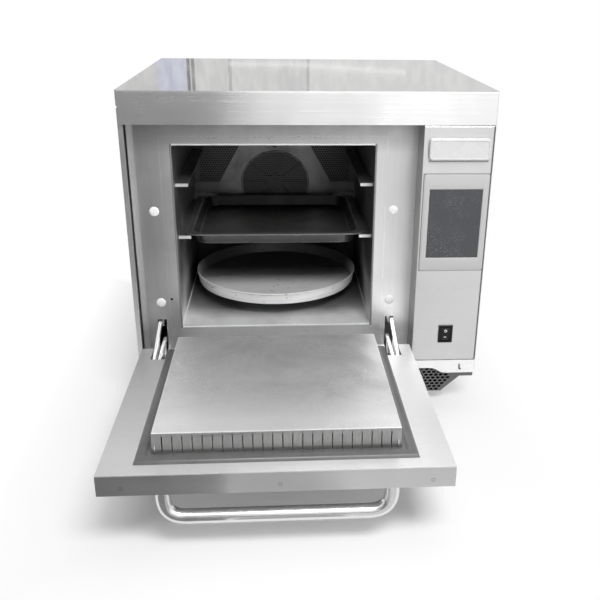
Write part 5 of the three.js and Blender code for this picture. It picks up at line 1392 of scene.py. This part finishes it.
# %% [markdown]
# ## Perforated sheets
# The chin of the oven and the wall at the back of the cavity are punched sheets. The holes are cut out of
# the sheet for real: a triangulation takes the outline and every hole as fixed edges, and the triangles
# that lie in a hole are left out. The flat sheet then gets its thickness and the walls of its holes.


# %% A punched sheet
INSIDE_OUTLINE = 1
SNAP = 1e-5


def punched_sheet(outline, holes, to_front, to_back):
    loops = [outline] + holes
    flat, edges, owner = [], [], []
    for number, loop in enumerate(loops):
        start = len(flat)
        flat += [Vector(point) for point in loop]
        owner += [number] * len(loop)
        edges += [(start + i, start + (i + 1) % len(loop)) for i in range(len(loop))]
    corners, _, triangles, origins, _, _ = delaunay_2d_cdt(
        flat, edges, [tuple(range(len(outline)))], INSIDE_OUTLINE, SNAP)
    home = [owner[ids[0]] if ids else 0 for ids in origins]
    kept = [tri for tri in triangles if not (home[tri[0]] and home[tri[0]] == home[tri[1]] == home[tri[2]])]
    total = len(corners)
    points = [to_front(*corner) for corner in corners] + [to_back(*corner) for corner in corners]
    faces = [tuple(tri) for tri in kept] + [tuple(i + total for i in reversed(tri)) for tri in kept]
    used = dict.fromkeys((tri[i - 1], tri[i]) for tri in kept for i in (1, 2, 0))
    faces += [(b, a, a + total, b + total) for a, b in used if (b, a) not in used]
    return points, faces


def hexagon(x, z, radius, stretch=1):
    turns = [math.pi / 6 + 2 * math.pi * i / 6 for i in range(6)]
    return [(x + radius * math.cos(turn) * stretch, z + radius * math.sin(turn)) for turn in turns]


# %% [markdown]
# The chin's holes are hexagons in staggered rows. They stop a little short of the sheet's slanting ends.

# %% The punched chin
CHIN_LOW = 22
CHIN_HIGH = 83
CHIN = [(-240, CHIN_LOW), (240, CHIN_LOW), (270, 58), (293.5, 58), (293.5, CHIN_HIGH), (-293.5, CHIN_HIGH),
        (-293.5, 58), (-270, 58)]
CHIN_PITCH = (8.9, 7.0)
CHIN_HOLE = 3.2
CHIN_STRETCH = 1.2
CHIN_EDGE = 4.6
CHIN_TOP_Y = -81.5
CHIN_LEAN = 20 / 61
CHIN_SHEET = 1.4
CHIN_STEPS = 40
CHIN_MIDDLE_Z = 50
CHIN_REACH = 257
CHIN_NARROWING = (0.9, 0.75)


def chin_y(z, depth):
    return CHIN_TOP_Y + (CHIN_HIGH - z) * CHIN_LEAN + depth


def chin_room(z):
    lower, upper = CHIN_NARROWING
    return CHIN_REACH - (z - CHIN_MIDDLE_Z) * (upper if z > CHIN_MIDDLE_Z else -lower)


chin_holes = []
row = 0
z = CHIN_LOW + CHIN_EDGE
while z < CHIN_HIGH - CHIN_EDGE:
    shift = CHIN_PITCH[0] / 2 if row % 2 else 0
    for step in range(-CHIN_STEPS, CHIN_STEPS + 1):
        x = step * CHIN_PITCH[0] + shift
        if abs(x) < chin_room(z) - CHIN_HOLE:
            chin_holes.append(hexagon(x, z, CHIN_HOLE, CHIN_STRETCH))
    row += 1
    z += CHIN_PITCH[1]
chin_sheet = punched_sheet(CHIN, chin_holes, lambda x, z: (x, chin_y(z, 0), z),
                           lambda x, z: (x, chin_y(z, CHIN_SHEET), z))
new_piece("punched_chin", *chin_sheet, shaded_chin_steel, "grille", "brushed_steel", replaced=["intake_grille"],
          sharp=30)
print("holes in the chin:", len(chin_holes))

# %% [markdown]
# The back wall has a round field over the fan and a slanting field on each side, all punched with small
# round holes. They are so small that six sides are enough to draw them. A pressed ring frames the round
# field, and one screw holds the wall above it.

# %% The punched back wall
WALL = ((-222.7, 109.7), (146.3, 465.2))
WALL_Y = 304.1
WALL_SHEET = (0.9, 2)
WALL_FIRST_ROW = 6
FAN_FIELD = (-56.5, 319.2, 67)
FAN_RING = [(68.4, 1.0), (69, 0.4), (69.7, 0), (70.3, 0.4), (71, 1.0)]
WALL_PITCH = 5.2
WALL_HOLE = 1.95
WALL_ROWS = 60
WALL_STEPS = 34
ROW_STEP = 0.866
FIELD_LEVELS = (325, 436)
FIELD_OUTER = 154.7
FIELD_SLANT = (75, 398.6, 0.56)


def in_side_field(x, z):
    if not FIELD_LEVELS[0] < z < FIELD_LEVELS[1]:
        return False
    inner, level, slant = FIELD_SLANT
    return inner + (level - z) * slant < abs(x - FAN_FIELD[0]) < FIELD_OUTER


wall_holes = []
for row in range(WALL_ROWS):
    z = WALL[1][0] + WALL_FIRST_ROW + row * WALL_PITCH * ROW_STEP
    for step in range(-WALL_STEPS, WALL_STEPS + 1):
        x = FAN_FIELD[0] + (step + (0.5 if row % 2 else 0)) * WALL_PITCH
        in_fan_field = math.hypot(x - FAN_FIELD[0], z - FAN_FIELD[1]) < FAN_FIELD[2]
        if in_fan_field or in_side_field(x, z):
            wall_holes.append(hexagon(x, z, WALL_HOLE))
(left, right_end), (foot, head) = WALL
wall_sheet = punched_sheet(
    [(left, foot), (right_end, foot), (right_end, head), (left, head)], wall_holes,
    lambda x, z: (x, WALL_Y + WALL_SHEET[0], z), lambda x, z: (x, WALL_Y + WALL_SHEET[1], z))
fan_ring = lathe([(r, WALL_Y + d) for r, d in FAN_RING], (FAN_FIELD[0], 0, FAN_FIELD[1]), "Y",
                 segments=72)
new_piece("punched_back_wall", *joined([wall_sheet, skin(fan_ring, closed=True)]), baffle_steel, "cabinet",
          "cavity_steel", replaced=["back_baffle"], sharp=30)
print("holes in the back wall:", len(wall_holes))

# %% [markdown]
# ## Small fittings
# Plugs close the spare holes beside the door, a bright turned edge frames the opening, pegs hold the racks
# at the back, and screws hold the sheets. They are small, but they are what the eye uses to judge the
# scale.


# %% Domed plugs, pegs and screws
def turned_piece(name, profile, centre, axis, segments, finish, body, slot, **more):
    new_piece(name, *skin(lathe(profile, centre, axis, segments)), finish, body, slot, **more)


PLATE_Y = -35.5
PLUG_DOME = [(0, -2.6), (3, -2.45), (5.6, -1.9), (7.2, -1.1), (8, -0.35), (8, -0.05), (6.5, -0.02),
             (0, -0.02)]
for side, x in (("left", -256.3), ("right", 142.4)):
    for level, z in (("upper", 355.5), ("lower", 192.7)):
        turned_piece(f"plug_{level}_{side}", PLUG_DOME, (x, PLATE_Y, z), "Y", 32, plug_white, "cabinet",
                     "grey_plastic")

PEG = [(0, 0), (3.6, 0.1), (3.6, 1.4), (2, 1.8), (2, 11), (1.7, 12), (0, 12.3)]
for side, wall, inward in (("left", -223, 1), ("right", 110, -1)):
    for level, y, z in (("upper", 256, 378.5), ("lower", 243, 288)):
        turned_piece(f"peg_{level}_{side}", [(r, inward * along) for r, along in PEG], (wall, y, z), "X", 20,
                     trim_steel, "cabinet", "polished_steel")

SCREW = [(0, -1.7), (1.6, -1.65), (1.7, -1.0), (2.2, -1.0), (2.3, -1.7), (3.1, -1.5), (3.5, -0.8), (3.5, 0),
         (0, 0)]
WALL_SCREW_Z = 398.7
turned_piece("wall_screw", SCREW, (FAN_FIELD[0], WALL_Y + WALL_SHEET[0], WALL_SCREW_Z), "Y", 24,
             heater_sheath, "cabinet", "cavity_steel")
REAR_SCREW = [(r, -along) for r, along in SCREW]
REAR_Y = 454.6
REAR_SCREWS = [(-286, 84), (-286, 300), (-286, 519), (0, 84), (0, 519), (286, 84), (286, 300), (286, 519)]
for x, z in REAR_SCREWS:
    turned_piece(f"rear_screw_{x}_{z}".replace("-", "m"), REAR_SCREW, (x, REAR_Y, z), "Y", 24, polished_steel,
                 "cabinet", "polished_steel")

# %% [markdown]
# The front edge of the cavity is folded outward and welded to the plate. Years of wiping have polished that
# fold, and it draws a thin bright line all the way round the opening.

# %% The bright edge of the opening
MOUTH = ((-223, 110), (146, 465.5))
MOUTH_CORNER = 2.2
MOUTH_ROWS = [(-1.9, -35.55), (-1.7, -36.0), (-0.6, -36.2), (0.6, -36.0), (1.2, -35.2), (1.4, -34.2),
              (1.0, -33.2), (0.2, -32.8), (-0.3, -33), (-0.3, -35.2)]
mouth_rings = [front_ring(*inset_box(MOUTH, inset), MOUTH_CORNER, y, 4) for inset, y in MOUTH_ROWS]
new_piece("mouth_edge", *skin(mouth_rings, closed=True), wiped_edge_steel, "cabinet", "polished_steel")

# %% [markdown]
# Two small clips at the lower corners of the choke hold the seal's ends, and a bent wire hook under the
# panel keeps the drip catcher.

# %% Clips and the hook
CLIP_ROUTE = [(0, 47, 360.9), (0, 43, 361.1), (0, 40, 361.2), (0.2, 38.2, 361.3), (0.8, 37.8, 361.3)]
CLIP_RADII = [0.6, 1, 1.1, 1.1, 0.8]
for side, x, outward in (("left", -215.6, -1), ("right", 102.6, 1)):
    route = [on_door(x + outward * dx, out, up) for dx, out, up in CLIP_ROUTE]
    new_piece(f"seal_clip_{side}", *skin(tube(route, CLIP_RADII, sides=12)), bright_rod, "door",
              "polished_steel")

HOOK_ROUTE = [(265, -86.4, 88), (265, -86.9, 84), (265, -87.1, 80.6), (265.4, -87.3, 79.2),
              (266.2, -87.4, 78.6), (267, -87.4, 79), (267.4, -87.3, 80)]
HOOK_RADIUS = 1.0
new_piece("catcher_hook", *skin(tube(HOOK_ROUTE, HOOK_RADIUS, sides=12)), heater_sheath, "cabinet",
          "polished_steel")

# %% [markdown]
# Each foot is a rubber cup with ribs that let it grip and a flat sole.

# %% The feet
FOOT_PROFILE = [
    (0, 0), (17.4, 0), (19.6, 0.8), (20, 2.4), (19.7, 4), (19, 4.4), (19.3, 5), (19.2, 7.6), (18.5, 8),
    (18.7, 8.6), (18.5, 11.2), (17.8, 11.6), (18, 12.2), (17.6, 15), (16.9, 18.5), (16.2, 20.8),
    (15.2, 21.7), (0, 21.7)]
for row, y in (("front", 24.5), ("rear", 394.5)):
    for side, x in (("left", -190), ("right", 190)):
        turned_piece(f"ribbed_foot_{row}_{side}", FOOT_PROFILE, (x, y, 0), "Z", 48, foot_rubber, "cabinet",
                     "foot_rubber", replaced=[f"foot_{row}_{side}"], sharp=50)
